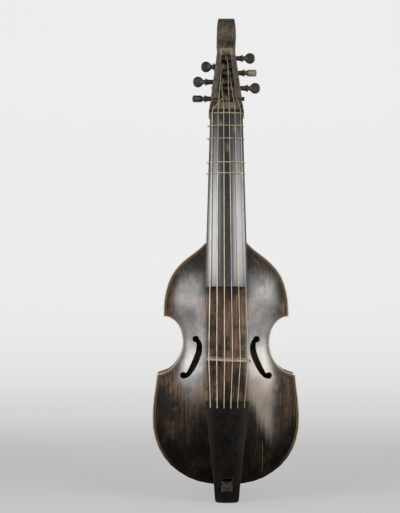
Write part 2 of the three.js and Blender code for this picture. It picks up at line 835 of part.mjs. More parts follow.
// The grooves that draw the volute on both cheeks of the head
function voluteCutter() {
  const steps = Math.round(15 * voluteTurns);
  const line = Array.from({ length: steps + 1 }, (_, i) => {
    const turns = (voluteTurns * i) / steps;
    const angle = scrollArc + 2 * Math.PI * turns;
    const radius = scrollRadius * voluteShrinkShare ** turns;
    return new THREE.Vector2(
      pegboxDepth - scrollRadius + radius * Math.cos(angle), scrollHeight + radius * Math.sin(angle),
    );
  });
  const outline = [...offsetLine(line, voluteGroove / 2), ...offsetLine(line, -voluteGroove / 2).reverse()];
  const spiral = sidePrism(outline, -scrollWidthAtFront, scrollWidthAtFront);
  return cut(spiral, frontPrism(headOutline(voluteDepth), -pegboxDepth - overrun, pegboxDepth + overrun));
}

function channelCutter() {
  const front = -overrun;
  const outline = [
    new THREE.Vector2(channelWidthAtEnd / 2, channelEnd),
    new THREE.Vector2(channelWidthAtStart / 2, channelTaperStart),
    new THREE.Vector2(channelWidthAtStart / 2, channelStart),
  ];
  const well = frontPrism([...outline, ...mirrored(outline).reverse()], front, channelDepth);
  const throat = sidePrism([
    new THREE.Vector2(-seatGap, pegboxLength), new THREE.Vector2(-seatGap, channelEnd - overrun),
    new THREE.Vector2(channelDepth / 2, channelEnd - overrun),
    new THREE.Vector2(channelDepth / 2, channelEnd),
  ], -channelWidthAtEnd / 2, channelWidthAtEnd / 2);
  const ramp = sidePrism([
    new THREE.Vector2(-overrun, nutThickness + seatGap * 2),
    new THREE.Vector2(0, nutThickness + seatGap * 2),
    new THREE.Vector2(channelSlope, channelStart),
    new THREE.Vector2(channelSlope, channelStart + nutThickness),
    new THREE.Vector2(-overrun, channelStart + nutThickness),
  ], -boardWidthAtNut / 2, boardWidthAtNut / 2);
  return [well, throat, ramp];
}

function shaftDiameter(place, x) {
  const half = mix(pegboxWidthAtNut, pegboxWidthAtTop, place.along / pegboxLength) / 2;
  return pegShaftDiameter - pegTaper * THREE.MathUtils.clamp((half - place.side * x) / (2 * half), 0, 1);
}

function cheekHalf(place) {
  return mix(pegboxWidthAtNut, pegboxWidthAtTop, place.along / pegboxLength) / 2;
}

function pegBore(place) {
  const half = cheekHalf(place);
  const bore = cylinderAlongX(
    shaftDiameter(place, -half - overrun) + 2 * pegClearance,
    shaftDiameter(place, half + overrun) + 2 * pegClearance, -half - overrun, half + overrun, 12,
  );
  return bore.translate(0, pegAxisDepth, place.along);
}

// The treble string runs down into the pegbox over the cheek's edge, through a shallow groove
function trebleGroove() {
  const place = pegPlaces.find(({ string }) => string === stringDiameters.length - 1);
  const { touch, nutPoint } = windingTouch(place);
  return tube([nutPoint, touch], stringDiameters[place.string] + 4 * seatGap, 8);
}

function neckAndHead() {
  const head = common(
    frontPrism(headOutline(0), -pegboxDepth - overrun, pegboxDepth + overrun),
    sidePrism(headProfile(), -pegboxWidthAtNut, pegboxWidthAtNut),
  );
  const carved = cut(
    head, ...channelCutter(), voluteCutter(), trebleGroove(), ...pegPlaces.map(pegBore),
  ).applyMatrix4(pegboxTurn);
  const boardPlane = box(-pegboxWidthAtNut, pegboxWidthAtNut, -overrun, 0, -overrun, nutThickness);
  return join(neckShaft(), cut(carved, boardPlane));
}

// The nut stands across the neck, with a groove for each string
function nutTop(x) {
  const crown = sagitta(boardWidthAtNut / 2, boardRadius) - sagitta(Math.abs(x), boardRadius);
  return boardEdge + crown + nutRise;
}

function stringX(i, spacing) {
  return (i - (stringDiameters.length - 1) / 2) * spacing;
}

function nut() {
  const steps = 12;
  const top = Array.from({ length: steps + 1 }, (_, i) => {
    const x = (nutWidth / 2) * (1 - (2 * i) / steps);
    return new THREE.Vector2(x, nutTop(Math.min(Math.abs(x), boardWidthAtNut / 2)));
  });
  const half = nutWidth / 2;
  const points = [new THREE.Vector2(-half, seatGap), new THREE.Vector2(half, seatGap), ...top];
  const settings = { depth: nutThickness, bevelEnabled: false };
  const shape = new THREE.ExtrudeGeometry(new THREE.Shape(points), settings);
  shape.applyMatrix4(new THREE.Matrix4().set(1, 0, 0, 0, 0, -1, 0, 0, 0, 0, -1, 0, 0, 0, 0, 1));
  shape.translate(0, 0, nutThickness);
  const grooves = stringDiameters.map((diameter, i) => {
    const x = stringX(i, stringSpacingAtNut);
    const wide = diameter / 2 + seatGap;
    const groove = new THREE.CylinderGeometry(wide, wide, nutThickness + overrun, 8);
    return groove.rotateX(Math.PI / 2).translate(x, -nutTop(x), nutThickness / 2);
  });
  return cut(shape, ...grooves);
}

const fretEndShares = [0.5, -0.7];

// A fret: one gut loop tied round the neck, with its knot at the bass side and two short ends
function fret(number) {
  const length = Math.hypot(nutHeight - bridgeHeight, stringDrop());
  const along = -length * (1 - 2 ** (-number / 12));
  const out = seatGap + fretGut / 2;
  const half = boardWidth(along) / 2 + out;
  const edge = boardThickness(along) + out;
  const depth = neckDepth(along) + out;
  const points = [];
  const topSteps = 7;
  for (let i = 0; i <= topSteps; i += 1) {
    const x = half * (1 - (2 * i) / topSteps);
    const rise = sagitta(half, boardRadius) - sagitta(Math.abs(x), boardRadius);
    points.push(new THREE.Vector3(x, -edge - rise, along));
  }
  const backSteps = 11;
  for (let i = 0; i <= backSteps; i += 1) {
    const angle = Math.PI * (1 - i / backSteps);
    points.push(new THREE.Vector3(half * Math.cos(angle), depth * Math.sin(angle), along));
  }
  const loop = tube(points, fretGut, 6, true);
  const knotPlace = new THREE.Vector3(-half - fretKnot / 2 + fretGut / 2, -edge / 2, along);
  const knot = new THREE.SphereGeometry(fretKnot / 2, 6, 4).translate(...knotPlace.toArray());
  const ends = fretEndShares.map((lean) => {
    const tip = knotPlace.clone().add(new THREE.Vector3(-fretTail, fretTail * lean / 2, fretTail * lean));
    return tube([knotPlace, tip], fretGut * 0.8, 6);
  });
  return join(loop, knot, ...ends);
}

const pegHeadShares = [[0.3, 0.08], [0.45, 0.3], [0.5, 0.55], [0.42, 0.84], [0.2, 0.98]];

// Pegs: turned along x in their own frame, the head on +x, then placed from either side
function peg(place) {
  const half = cheekHalf(place);
  const radius = (x) => shaftDiameter({ ...place, side: 1 }, x) / 2;
  const ringPlace = half + place.reach - pegHeadLength - pegRingDiameter * 0.3;
  const headStart = half + place.reach - pegHeadLength;
  const tip = -half - place.tip;
  const profile = [
    [0, tip], [radius(-half) * 0.8, tip], [radius(-half), tip + place.tip * 0.2], [radius(half), half],
    [radius(half), ringPlace - pegBeadDiameter * 0.32],
    [pegBeadDiameter / 2, ringPlace - pegBeadDiameter * 0.2],
    [radius(half), ringPlace - pegBeadDiameter * 0.06],
    [pegRingDiameter / 2, ringPlace], [pegRingDiameter / 2, ringPlace + pegRingDiameter * 0.1],
    [radius(half) * 0.86, headStart - pegHeadLength * 0.1],
    ...pegHeadShares.map(([out, up]) => [pegHeadWidth * out, headStart + pegHeadLength * up]),
    [0, half + place.reach],
  ].map(([r, x]) => new THREE.Vector2(r, x));
  const geometry = new THREE.LatheGeometry(profile, 12);
  const position = geometry.attributes.position;
  const flat = pegHeadThickness / pegHeadWidth;
  for (let i = 0; i < position.count; i += 1) {
    const share = THREE.MathUtils.clamp((position.getY(i) - headStart) / (pegHeadLength * 0.66), 0, 1);
    position.setX(i, position.getX(i) * mix(1, flat, share));
  }
  geometry.rotateZ(-Math.PI / 2);
  if (place.side < 0) {
    geometry.rotateZ(Math.PI);
  }
  if (place.edgeOn) {
    geometry.rotateX(Math.PI / 2);
  }
  return facedOut(geometry);
}

// The winding of a string on its peg, in the peg's frame: y is depth and the string leaves on the front
function windingRadius(place) {
  return shaftDiameter(place, 0) / 2 + seatGap + stringDiameters[place.string] / 2;
}

// Where the string meets its winding, in the pegbox's frame: its line from the nut touches the winding
function windingTouch(place) {
  const nutPoint = nutExit(place.string).applyMatrix4(pegboxTurn.clone().invert());
  const from = new THREE.Vector2(nutPoint.y - pegAxisDepth, nutPoint.z - place.along);
  const radius = windingRadius(place);
  const angle = Math.atan2(from.y, from.x) - Math.acos(radius / from.length());
  const touch = new THREE.Vector3(
    place.windingStart, pegAxisDepth + radius * Math.cos(angle), place.along + radius * Math.sin(angle),
  );
  return { angle, touch, towardsNut: nutPoint.clone().sub(touch).normalize(), nutPoint };
}

// Points of the winding's middle line about the peg's axis, with one diameter of straight string at each end
function windingLine(place) {
  const { angle, towardsNut } = windingTouch(place);
  const diameter = stringDiameters[place.string];
  const radius = windingRadius(place);
  const steps = Math.round(turnSteps * windingTurns);
  const points = Array.from({ length: steps + 1 }, (_, i) => {
    const turned = angle - (i / turnSteps) * 2 * Math.PI;
    const x = place.windingStart - place.side * (diameter + windingGap) * (i / turnSteps);
    return new THREE.Vector3(x, radius * Math.cos(turned), radius * Math.sin(turned));
  });
  const last = angle - windingTurns * 2 * Math.PI;
  const onward = new THREE.Vector3(0, Math.sin(last), -Math.cos(last)).multiplyScalar(diameter);
  return [
    points[0].clone().addScaledVector(towardsNut, diameter), ...points,
    points[points.length - 1].clone().add(onward),
  ];
}

// Least gap between the turns of a winding, measured between the points of its middle line
function leastGap(points, diameter) {
  let least = Infinity;
  for (let i = 0; i < points.length; i += 1) {
    for (let k = i + turnSteps / 2; k < points.length; k += 1) {
      least = Math.min(least, points[i].distanceTo(points[k]) - diameter);
    }
  }
  return least;
}

// Bridge

function stringDrop() {
  return bellyTop + bridgeRise - nutFront;
}

const bellyTop = -bellyOuter(0, bridgeHeight);
const nutFront = nutDepth + nutTop(0) * Math.cos(neckAngle);

function bridgeArcDrop(x) {
  return sagitta(Math.abs(x), bridgeRadius);
}

function bridge() {
  const half = bridgeTopWidth / 2;
  const top = bellyTop + bridgeRise;
  const steps = 12;
  const arc = Array.from({ length: steps + 1 }, (_, i) => {
    const x = half * (1 - (2 * i) / steps);
    return new THREE.Vector2(x, top - bridgeArcDrop(x));
  });
  const legTop = bellyTop + bridgeRise * 0.26;
  const foot = bellyTop - archHeight;
  const inner = bridgeFootWidth / 2 - bridgeFootLength;
  const right = [
    new THREE.Vector2(bridgeWaistWidth / 2 + bridgeFootLength * 0.2, top - bridgeRise * 0.42),
    new THREE.Vector2(bridgeWaistWidth / 2, bellyTop + bridgeRise * 0.3),
    new THREE.Vector2(bridgeFootWidth / 2, bellyTop + bridgeRise * 0.05),
    new THREE.Vector2(bridgeFootWidth / 2, foot),
    new THREE.Vector2(inner, foot),
    new THREE.Vector2(inner, bellyTop + bridgeRise * 0.08),
    new THREE.Vector2(inner * 0.75, legTop * 0.98 + foot * 0.02),
    new THREE.Vector2(inner * 0.3, legTop + bridgeRise * 0.05),
  ];
  const outline = [...arc.slice().reverse(), ...right, ...mirrored(right).reverse()];
  const holeSides = 8;
  const eyeHole = (x, height, wide, tall) => new THREE.Path(Array.from({ length: holeSides }, (_, i) => {
    const angle = (2 * Math.PI * i) / holeSides;
    return new THREE.Vector2(x + wide * Math.cos(angle), height + tall * Math.sin(angle));
  }));
  const holes = [
    eyeHole(0, bellyTop + bridgeRise * 0.56, bridgeWaistWidth * 0.09, bridgeRise * 0.12),
    ...[1, -1].map((side) => eyeHole(side * bridgeWaistWidth * 0.33, bellyTop + bridgeRise * 0.5,
      bridgeWaistWidth * 0.07, bridgeRise * 0.13)),
  ];
  const shape = new THREE.Shape(outline);
  shape.holes = holes;
  const geometry = new THREE.ExtrudeGeometry(shape, { depth: bridgeThickness, bevelEnabled: false });
  geometry.translate(0, 0, -bridgeThickness / 2);
  const position = geometry.attributes.position;
  for (let i = 0; i < position.count; i += 1) {
    const share = THREE.MathUtils.clamp((position.getY(i) - bellyTop) / bridgeRise, 0, 1);
    position.setZ(i, position.getZ(i) * mix(1, bridgeTopThickness / bridgeThickness, share));
  }
  geometry.rotateX(Math.PI).rotateY(bridgeTurn).translate(bridgeShift, 0, bridgeHeight);
  return cut(geometry, seatOnBelly(seatGap));
}

// Top of the bridge under a string
function bridgeContact(i) {
  const x = stringX(i, stringSpacingAtBridge);
  const rise = bellyTop + bridgeRise - bridgeArcDrop(x) + stringDiameters[i] / 2 + seatGap;
  const point = new THREE.Vector3(x, -rise, 0).applyAxisAngle(new THREE.Vector3(0, 1, 0), bridgeTurn);
  return point.add(new THREE.Vector3(bridgeShift, 0, bridgeHeight));
}

// Tailpiece, in a frame that lies along its front face

const tailpieceForward = tailpieceTopDepth - tailpieceBottomDepth;
const tailpieceUpward = tailpieceTop - tailpieceBottom;
const tailpieceLean = Math.atan(tailpieceForward / tailpieceUpward);
const tailpieceLength = Math.hypot(tailpieceForward, tailpieceUpward);
const tailpieceFrame = new THREE.Matrix4()
  .makeTranslation(tailpieceShift, -tailpieceBottomDepth, tailpieceBottom)
  .multiply(new THREE.Matrix4().makeRotationX(tailpieceLean));

function tailpieceRise(half) {
  return tailpieceCrown * (half / (tailpieceTopWidth / 2));
}

function tailpieceSection(along, width) {
  const half = width / 2;
  const steps = 8;
  const deep = tailpieceRise(half) + tailpieceEdge;
  const arc = Array.from({ length: steps + 1 }, (_, i) => {
    const share = 1 - (2 * i) / steps;
    return new THREE.Vector3(half * share, tailpieceRise(half) * share ** 2, along);
  });
  return [new THREE.Vector3(-half, deep, along), new THREE.Vector3(half, deep, along), ...arc];
}

function tailpiece() {
  const body = loft([
    tailpieceSection(0, tailpieceBottomWidth), tailpieceSection(tailpieceHipHeight, tailpieceHipWidth),
    tailpieceSection(tailpieceLength, tailpieceTopWidth),
  ]);
  const half = tailpieceBottomWidth / 2;
  const cornerSteps = 4;
  const corner = Array.from({ length: cornerSteps + 1 }, (_, i) => {
    const angle = (Math.PI / 2) * (i / cornerSteps);
    return new THREE.Vector2(
      half - tailpieceCorner * (1 - Math.sin(angle)), tailpieceCorner * (1 - Math.cos(angle)),
    );
  });
  const right = [...corner, new THREE.Vector2(tailpieceTopWidth, tailpieceTopWidth)];
  right.push(new THREE.Vector2(tailpieceTopWidth, tailpieceLength + overrun));
  const outline = frontPrism([...right, ...mirrored(right).reverse()], -overrun, overrun);
  const holes = stringDiameters.map((_, i) => {
    const hole = new THREE.CylinderGeometry(stringHoleDiameter / 2, stringHoleDiameter / 2, overrun, 8);
    return hole.translate(stringX(i, stringSpacingAtTailpiece), 0, tailpieceLength - stringHoleDrop);
  });
  const mortiseHalf = hookWidth / 2 + mortiseSlack;
  const mortise = box(
    tailpieceShift - mortiseHalf, tailpieceShift + mortiseHalf, bellyFace - archHeight - overrun, bellyFace,
    hookBottom - seatGap, hookTop + mortiseSlot,
  ).applyMatrix4(tailpieceFrame.clone().invert());
  return cut(common(body, outline), mortise, ...holes);
}

// The hook bar stands in a notch of the ribs and carries the tailpiece on its end, cut to a low point
function hookBar() {
  const middle = (hookBottom + hookTop) / 2;
  const lean = Math.tan(tailpieceLean);
  const front = -tailpieceBottomDepth - (middle - tailpieceBottom) * lean - hookReach;
  const section = (y, size) => [[-1, -1], [1, -1], [1, 1], [-1, 1]].map(([across, up]) => new THREE.Vector3(
    tailpieceShift + (across * size * hookWidth) / 2, y, middle + (up * size * hookHeight) / 2,
  ));
  return loft([section(-backThickness, 1), section(front, 1), section(front - hookPoint, hookTipShare)]);
}

// Strings: each runs from its hole over the bridge and the nut to its peg

function nutExit(i) {
  const x = stringX(i, stringSpacingAtNut);
  return new THREE.Vector3(x, -nutTop(x), nutThickness);
}

function stringLine(place) {
  const i = place.string;
  const diameter = stringDiameters[i];
  const x = stringX(i, stringSpacingAtTailpiece);
  const surface = tailpieceRise(tailpieceTopWidth / 2) * (x / (tailpieceTopWidth / 2)) ** 2;
  const over = surface - diameter / 2 - seatGap;
  const holeAt = tailpieceLength - stringHoleDrop;
  const inTail = [
    new THREE.Vector3(x, tailpieceCrown + tailpieceEdge + seatGap, holeAt),
    new THREE.Vector3(x, surface, holeAt),
    new THREE.Vector3(x, over, holeAt + diameter), new THREE.Vector3(x, over, tailpieceLength),
  ].map((point) => point.applyMatrix4(tailpieceFrame));
  const nutFrontPoint = nutExit(i).setZ(0).applyMatrix4(neckFrame);
  const { touch, towardsNut } = windingTouch(place);
  const radius = windingRadius(place);
  const clear = Math.sqrt(diameter ** 2 + 2 * radius * diameter) + seatGap;
  const end = touch.clone().addScaledVector(towardsNut, clear).applyMatrix4(pegboxFrame);
  return [...inTail, bridgeContact(i), nutFrontPoint, nutExit(i).applyMatrix4(neckFrame), end];
}

// Finishes: aged, varnished wood and gut
const finishes = {
  varnishedSpruce: { color: 0x6b4a2a, roughness: 0.35, metalness: 0 },
  varnishedMaple: { color: 0x5a3a20, roughness: 0.35, metalness: 0 },
  plainSpruce: { color: 0xb08a5a, roughness: 0.8, metalness: 0 },
  wornMaple: { color: 0x4a3626, roughness: 0.5, metalness: 0 },
  blackenedWood: { color: 0x262220, roughness: 0.3, metalness: 0 },
  stainedWood: { color: 0x33241a, roughness: 0.4, metalness: 0 },
  bridgeMaple: { color: 0xb9935f, roughness: 0.6, metalness: 0 },
  gut: { color: 0xcdbb98, roughness: 0.45, metalness: 0 },
};

function piece(name, geometry, finish) {
  const mesh = new THREE.Mesh(geometry, new THREE.MeshStandardMaterial(finishes[finish]));
  mesh.name = name;
  return mesh;
}

const viol = new THREE.Group();
viol.position.z = -originHeight;

viol.add(piece('belly', belly(), 'varnishedSpruce'));
viol.add(piece('back', back(), 'varnishedMaple'));
viol.add(piece('top_block', topBlock(), 'plainSpruce'));
viol.add(piece('tail_block', tailBlock(), 'plainSpruce'));
for (const [sideName, side] of [['left', -1], ['right', 1]]) {
  for (const bout of ['upper', 'middle', 'lower']) {
    viol.add(piece(`rib_${bout}_${sideName}`, rib(bout, side), 'varnishedMaple'));
    viol.add(piece(`lining_belly_${bout}_${sideName}`, lining(bout, side, true), 'plainSpruce'));
    viol.add(piece(`lining_back_${bout}_${sideName}`, lining(bout, side, false), 'plainSpruce'));
  }
  for (const corner of ['upper', 'lower']) {
    viol.add(piece(`corner_block_${corner}_${sideName}`, cornerBlock(corner, side), 'plainSpruce'));
  }
}
viol.add(piece('bass_bar', bassBar(), 'plainSpruce'));
viol.add(piece('sound_post', soundPost(), 'plainSpruce'));
const postPlate = backBar(soundPostHeight, postPlateWidth, postPlateThickness);
viol.add(piece('sound_post_plate', postPlate, 'plainSpruce'));
viol.add(piece('back_brace_lower', backBar(lowerBraceHeight, braceWidth, braceHeight), 'plainSpruce'));
viol.add(piece('back_brace_upper', backBar(upperBraceHeight, braceWidth, braceHeight), 'plainSpruce'));
viol.add(piece('bridge', bridge(), 'bridgeMaple'));
viol.add(piece('hook_bar', hookBar(), 'stainedWood'));

const tailpieceGroup = new THREE.Group();
tailpieceGroup.applyMatrix4(tailpieceFrame);
tailpieceGroup.add(piece('tailpiece', tailpiece(), 'blackenedWood'));
viol.add(tailpieceGroup);

const neckGroup = new THREE.Group();
neckGroup.applyMatrix4(neckFrame);
neckGroup.add(piece('neck_and_head', neckAndHead(), 'wornMaple'));
neckGroup.add(piece('fingerboard', fingerboard(), 'blackenedWood'));
neckGroup.add(piece('nut', nut(), 'blackenedWood'));
for (const number of fretNumbers) {
  neckGroup.add(piece(`fret_${number}`, fret(number), 'gut'));
}
viol.add(neckGroup);

const pegboxGroup = new THREE.Group();
pegboxGroup.applyMatrix4(pegboxTurn);
for (const place of pegPlaces) {
  const pegGroup = new THREE.Group();
  pegGroup.position.set(0, pegAxisDepth, place.along);
  pegGroup.add(piece(`peg_${place.name}`, peg(place), 'blackenedWood'));
  const line = windingLine(place);
  const diameter = stringDiameters[place.string];
  pegGroup.add(piece(`winding_${place.name}`, tube(line, diameter, 6), 'gut'));
  pegboxGroup.add(pegGroup);
  viol.add(piece(`string_${place.string + 1}`, tube(stringLine(place), diameter, 8), 'gut'));
  console.log(`winding_${place.name}: least gap to itself ${leastGap(line, diameter).toFixed(2)} mm`);
}
neckGroup.add(pegboxGroup);

export default viol;
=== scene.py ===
# A treble viol with six gut strings, dressed over its CAD frame. Metres, up is +Z, the belly faces -Y.
import json
import math

import bpy
from mathutils import Matrix, Vector, kdtree


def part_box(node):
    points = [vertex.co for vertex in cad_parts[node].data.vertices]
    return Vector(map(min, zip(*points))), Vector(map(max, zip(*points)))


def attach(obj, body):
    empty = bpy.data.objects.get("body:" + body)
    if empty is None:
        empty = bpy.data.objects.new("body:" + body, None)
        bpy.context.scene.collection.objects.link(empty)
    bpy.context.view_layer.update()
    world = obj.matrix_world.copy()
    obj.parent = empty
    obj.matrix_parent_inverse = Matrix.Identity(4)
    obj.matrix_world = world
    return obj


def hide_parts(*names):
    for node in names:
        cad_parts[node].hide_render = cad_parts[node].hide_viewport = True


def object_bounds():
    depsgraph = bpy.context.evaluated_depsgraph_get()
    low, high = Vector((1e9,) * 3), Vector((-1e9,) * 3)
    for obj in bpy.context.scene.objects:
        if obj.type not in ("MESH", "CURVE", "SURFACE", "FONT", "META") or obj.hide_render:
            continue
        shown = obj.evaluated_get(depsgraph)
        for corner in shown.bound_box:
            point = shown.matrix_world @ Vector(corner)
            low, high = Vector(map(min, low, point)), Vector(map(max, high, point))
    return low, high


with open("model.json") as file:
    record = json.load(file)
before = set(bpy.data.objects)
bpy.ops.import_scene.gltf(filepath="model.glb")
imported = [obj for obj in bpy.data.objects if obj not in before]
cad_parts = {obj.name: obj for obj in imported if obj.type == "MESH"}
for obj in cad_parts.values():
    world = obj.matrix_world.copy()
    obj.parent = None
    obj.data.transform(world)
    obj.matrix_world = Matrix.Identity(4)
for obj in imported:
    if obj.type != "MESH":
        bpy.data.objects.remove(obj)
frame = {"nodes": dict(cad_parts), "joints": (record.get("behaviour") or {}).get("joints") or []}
cad_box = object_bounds()

MM = 0.001


# Small tools

def linear(hex_colour):
    """An sRGB hex colour as the linear RGBA that the shaders take."""
    channels = [int(hex_colour[i:i + 2], 16) / 255 for i in (0, 2, 4)]
    return [c / 12.92 if c <= 0.04045 else ((c + 0.055) / 1.055) ** 2.4 for c in channels] + [1.0]


def add_node(tree, kind, inputs=(), stops=(), **settings):
    """Adds a shader node with its settings, the stops of its ramp, and its inputs: numbers, sockets or nodes, by
    name or number, or in a row."""
    node = tree.nodes.new("ShaderNode" + kind)
    for key, value in settings.items():
        setattr(node, key, value)
    for key, value in inputs.items() if isinstance(inputs, dict) else enumerate(inputs):
        if isinstance(value, bpy.types.Node):
            value = next(socket for socket in value.outputs if socket.enabled)
        if isinstance(value, bpy.types.NodeSocket):
            tree.links.new(value, node.inputs[key])
        else:
            node.inputs[key].default_value = value
    if stops:
        ramp = node.color_ramp
        while len(ramp.elements) < len(stops):
            ramp.elements.new(1.0)
        for element, (place, colour) in zip(ramp.elements, stops):
            element.position = place
            element.color = colour if not isinstance(colour, float) else (colour, colour, colour, 1.0)
    return node


def new_material(name):
    """An empty material with its tree and its object coordinates."""
    material = bpy.data.materials.new(name)
    material.use_nodes = True
    tree = material.node_tree
    tree.nodes.clear()
    return material, tree, add_node(tree, "TexCoord").outputs["Object"]


def select_only(piece):
    bpy.ops.object.select_all(action="DESELECT")
    piece.select_set(True)
    bpy.context.view_layer.objects.active = piece


def edit(piece, kind="VERT"):
    """Opens a piece in edit mode with nothing selected."""
    select_only(piece)
    bpy.ops.object.mode_set(mode="EDIT")
    bpy.ops.mesh.select_mode(type=kind)
    bpy.ops.mesh.select_all(action="DESELECT")


def close_edit():
    bpy.ops.object.mode_set(mode="OBJECT")


def apply_modifier(piece, kind, **settings):
    """Adds a modifier with its settings and applies it."""
    select_only(piece)
    modifier = piece.modifiers.new(kind.title(), kind)
    for key, value in settings.items():
        setattr(modifier, key, value)
    bpy.ops.object.modifier_apply(modifier=modifier.name)


def smooth(piece, degrees=35):
    select_only(piece)
    bpy.ops.object.shade_smooth_by_angle(angle=math.radians(degrees))


def settle(piece, material, body, slot, *nodes):
    """Puts the finished piece at the origin, gives it its material and body, and hides the CAD nodes it stands for.
    """
    select_only(piece)
    bpy.ops.object.transform_apply(location=True, rotation=True, scale=True)
    piece.data.materials.clear()
    piece.data.materials.append(material)
    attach(piece, body)
    if nodes:
        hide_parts(*nodes)


def merged_copy(node, name, bevel=0.0, degrees=32):
    """A copy of a CAD node with its loose triangles joined to clean faces, and its sharp edges eased."""
    source = frame["nodes"][node]
    piece = bpy.data.objects.new(name, source.data.copy())
    bpy.context.scene.collection.objects.link(piece)
    edit(piece)
    bpy.ops.mesh.select_all(action="SELECT")
    bpy.ops.mesh.remove_doubles(threshold=0.00001)
    bpy.ops.mesh.dissolve_limited(angle_limit=math.radians(0.5))
    close_edit()
    if bevel:
        apply_modifier(
            piece, "BEVEL", width=bevel, segments=2, limit_method="ANGLE", angle_limit=math.radians(degrees),
        )
    smooth(piece, degrees)
    return piece


# Camera: level and straight in front, leaning a little, in line with the photograph's middle

PIXEL = 1.479 * MM
IMAGE_HEIGHT = 513
EDGE_PLANE = -72.5 * MM
CAMERA_DISTANCE = 2750 * MM
CAMERA_ROLL = math.radians(-0.12)
PICTURE_MIDDLE_X = -38.8 * MM
PICTURE_MIDDLE_Z = 176.5 * MM

bpy.ops.object.camera_add(
    location=(PICTURE_MIDDLE_X, EDGE_PLANE - CAMERA_DISTANCE, PICTURE_MIDDLE_Z),
    rotation=(math.pi / 2, CAMERA_ROLL, 0),
)
camera = bpy.context.object
camera.name = "camera"
camera.data.sensor_fit = "VERTICAL"
camera.data.sensor_height = 24
camera.data.lens = camera.data.sensor_height * CAMERA_DISTANCE / (IMAGE_HEIGHT * PIXEL)
bpy.context.scene.camera = camera
bpy.context.scene.view_settings.view_transform = "Standard"


# Finishes

MIX = {"data_type": "RGBA"}
SCALE = {"operation": "SCALE"}
MULTIPLY = {"operation": "MULTIPLY"}
SUBTRACT = {"operation": "SUBTRACT"}
ABSOLUTE = {"operation": "ABSOLUTE"}
SMOOTH = {"interpolation_type": "SMOOTHSTEP"}


def faded(tree, amount, *ranges):
    """The amount times a smooth share for each range: a value, its start and end, and the shares there if they
    aren't 0 and 1."""
    for limits in ranges:
        share = add_node(tree, "MapRange", limits, **SMOOTH)
        amount = add_node(tree, "Math", (share, amount), **MULTIPLY)
    return amount


def distance_from(tree, value, place):
    """How far a value is from a place, to either side."""
    offset = add_node(tree, "Math", (value, place), **SUBTRACT)
    return add_node(tree, "Math", [offset], **ABSOLUTE)


def old_wood(name, shades, line, stretch, patch, gloss, bump, flame=0.0, flame_length=1.0, wear=0.0, edge=0.0,
             wear_shade="9A7B55", coat=0.0, coat_gloss=0.24, ior=1.5, patch_depth=1.0, extra=None):
    """Wood with its grain along Z: streaks of a given width, broad patches of age, and bumps that follow the
    grain. Flame adds the bars of curly maple. Wear shows paler wood where the surface turns over an edge."""
    material, tree, place = new_material(name)
    across = 1 / line
    grain_place = add_node(tree, "Mapping", {"Vector": place, "Scale": (across, across, across / stretch)})
    grain = add_node(tree, "TexNoise", {
        "Vector": grain_place, "Scale": 1.0, "Detail": 5.0, "Roughness": 0.62, "Distortion": 0.25,
    })
    patch_place = add_node(tree, "Mapping", {"Vector": place, "Scale": (1 / patch, 1 / patch, 0.6 / patch)})
    patches = add_node(tree, "TexNoise", {"Vector": patch_place, "Scale": 1.0, "Detail": 6.0, "Roughness": 0.6})
    first, second, third = (linear(shade) for shade in shades)
    streaks = add_node(tree, "ValToRGB", [grain], [(0.28, first), (0.5, second), (0.72, third)])
    age = add_node(tree, "ValToRGB", [patches], [
        (0.32, 1.0 - 0.38 * patch_depth), (0.5, 0.96), (0.66, 1.0 + 0.2 * patch_depth),
    ])
    colour = add_node(tree, "VectorMath", (streaks, age), **MULTIPLY)
    if flame:
        flame_place = add_node(tree, "Mapping", {
            "Vector": place, "Scale": (0.12 / flame_length, 0.12 / flame_length, 1 / flame_length),
        })
        bars = add_node(tree, "TexNoise", {"Vector": flame_place, "Scale": 1.0, "Detail": 2.0, "Distortion": 0.4})
        lit = add_node(tree, "ValToRGB", [bars], [(0.36, 1.0 - flame), (0.5, 1.0), (0.64, 1.0 + flame)])
        colour = add_node(tree, "VectorMath", (colour, lit), **MULTIPLY)
    special = extra(tree, place, colour, patches) if extra else {}
    colour = special.pop("Base Color", colour)
    if wear:
        rounded = add_node(tree, "Bevel", {"Radius": edge}, samples=6)
        flat = add_node(tree, "NewGeometry").outputs["Normal"]
        turn = add_node(tree, "VectorMath", (rounded, flat), operation="DOT_PRODUCT").outputs["Value"]
        rubbed = add_node(tree, "MapRange", (turn, 0.995, 0.9, 0.0, wear), **SMOOTH)
        amount = add_node(tree, "Math", (rubbed, patches), **MULTIPLY)
        colour = add_node(tree, "Mix", {0: amount, 6: colour, 7: linear(wear_shade)}, **MIX)
    roughness = add_node(tree, "MapRange", (patches, 0.3, 0.7, *gloss))
    raised = add_node(tree, "Bump", {"Strength": 0.6, "Distance": bump, "Height": grain})
    shader = add_node(tree, "BsdfPrincipled", {
        "Base Color": colour, "Roughness": roughness, "Normal": raised, "IOR": ior, "Coat Weight": coat,
        "Coat Roughness": coat_gloss, "Coat Normal": raised, **special,
    })
    add_node(tree, "OutputMaterial", [shader])
    return material


PURFLING_INSET = 3.4 * MM
PURFLING_HALF = 0.9 * MM
# How far a crack strays to the side
CRACK_WANDER = 5 * MM
# Drying cracks and scratches: middle x, half width, lowest and highest z in mm, and their shade
CRACKS = (
    (54.0, 0.4, -142, -95, "8C7458"), (69.0, 0.45, -60, -5, "0C0805"), (-58.0, 0.4, -52, -28, "9A8468"),
    (-62.5, 0.4, -40, 0, "0C0805"), (37.0, 0.35, 60, 120, "0C0805"),
)


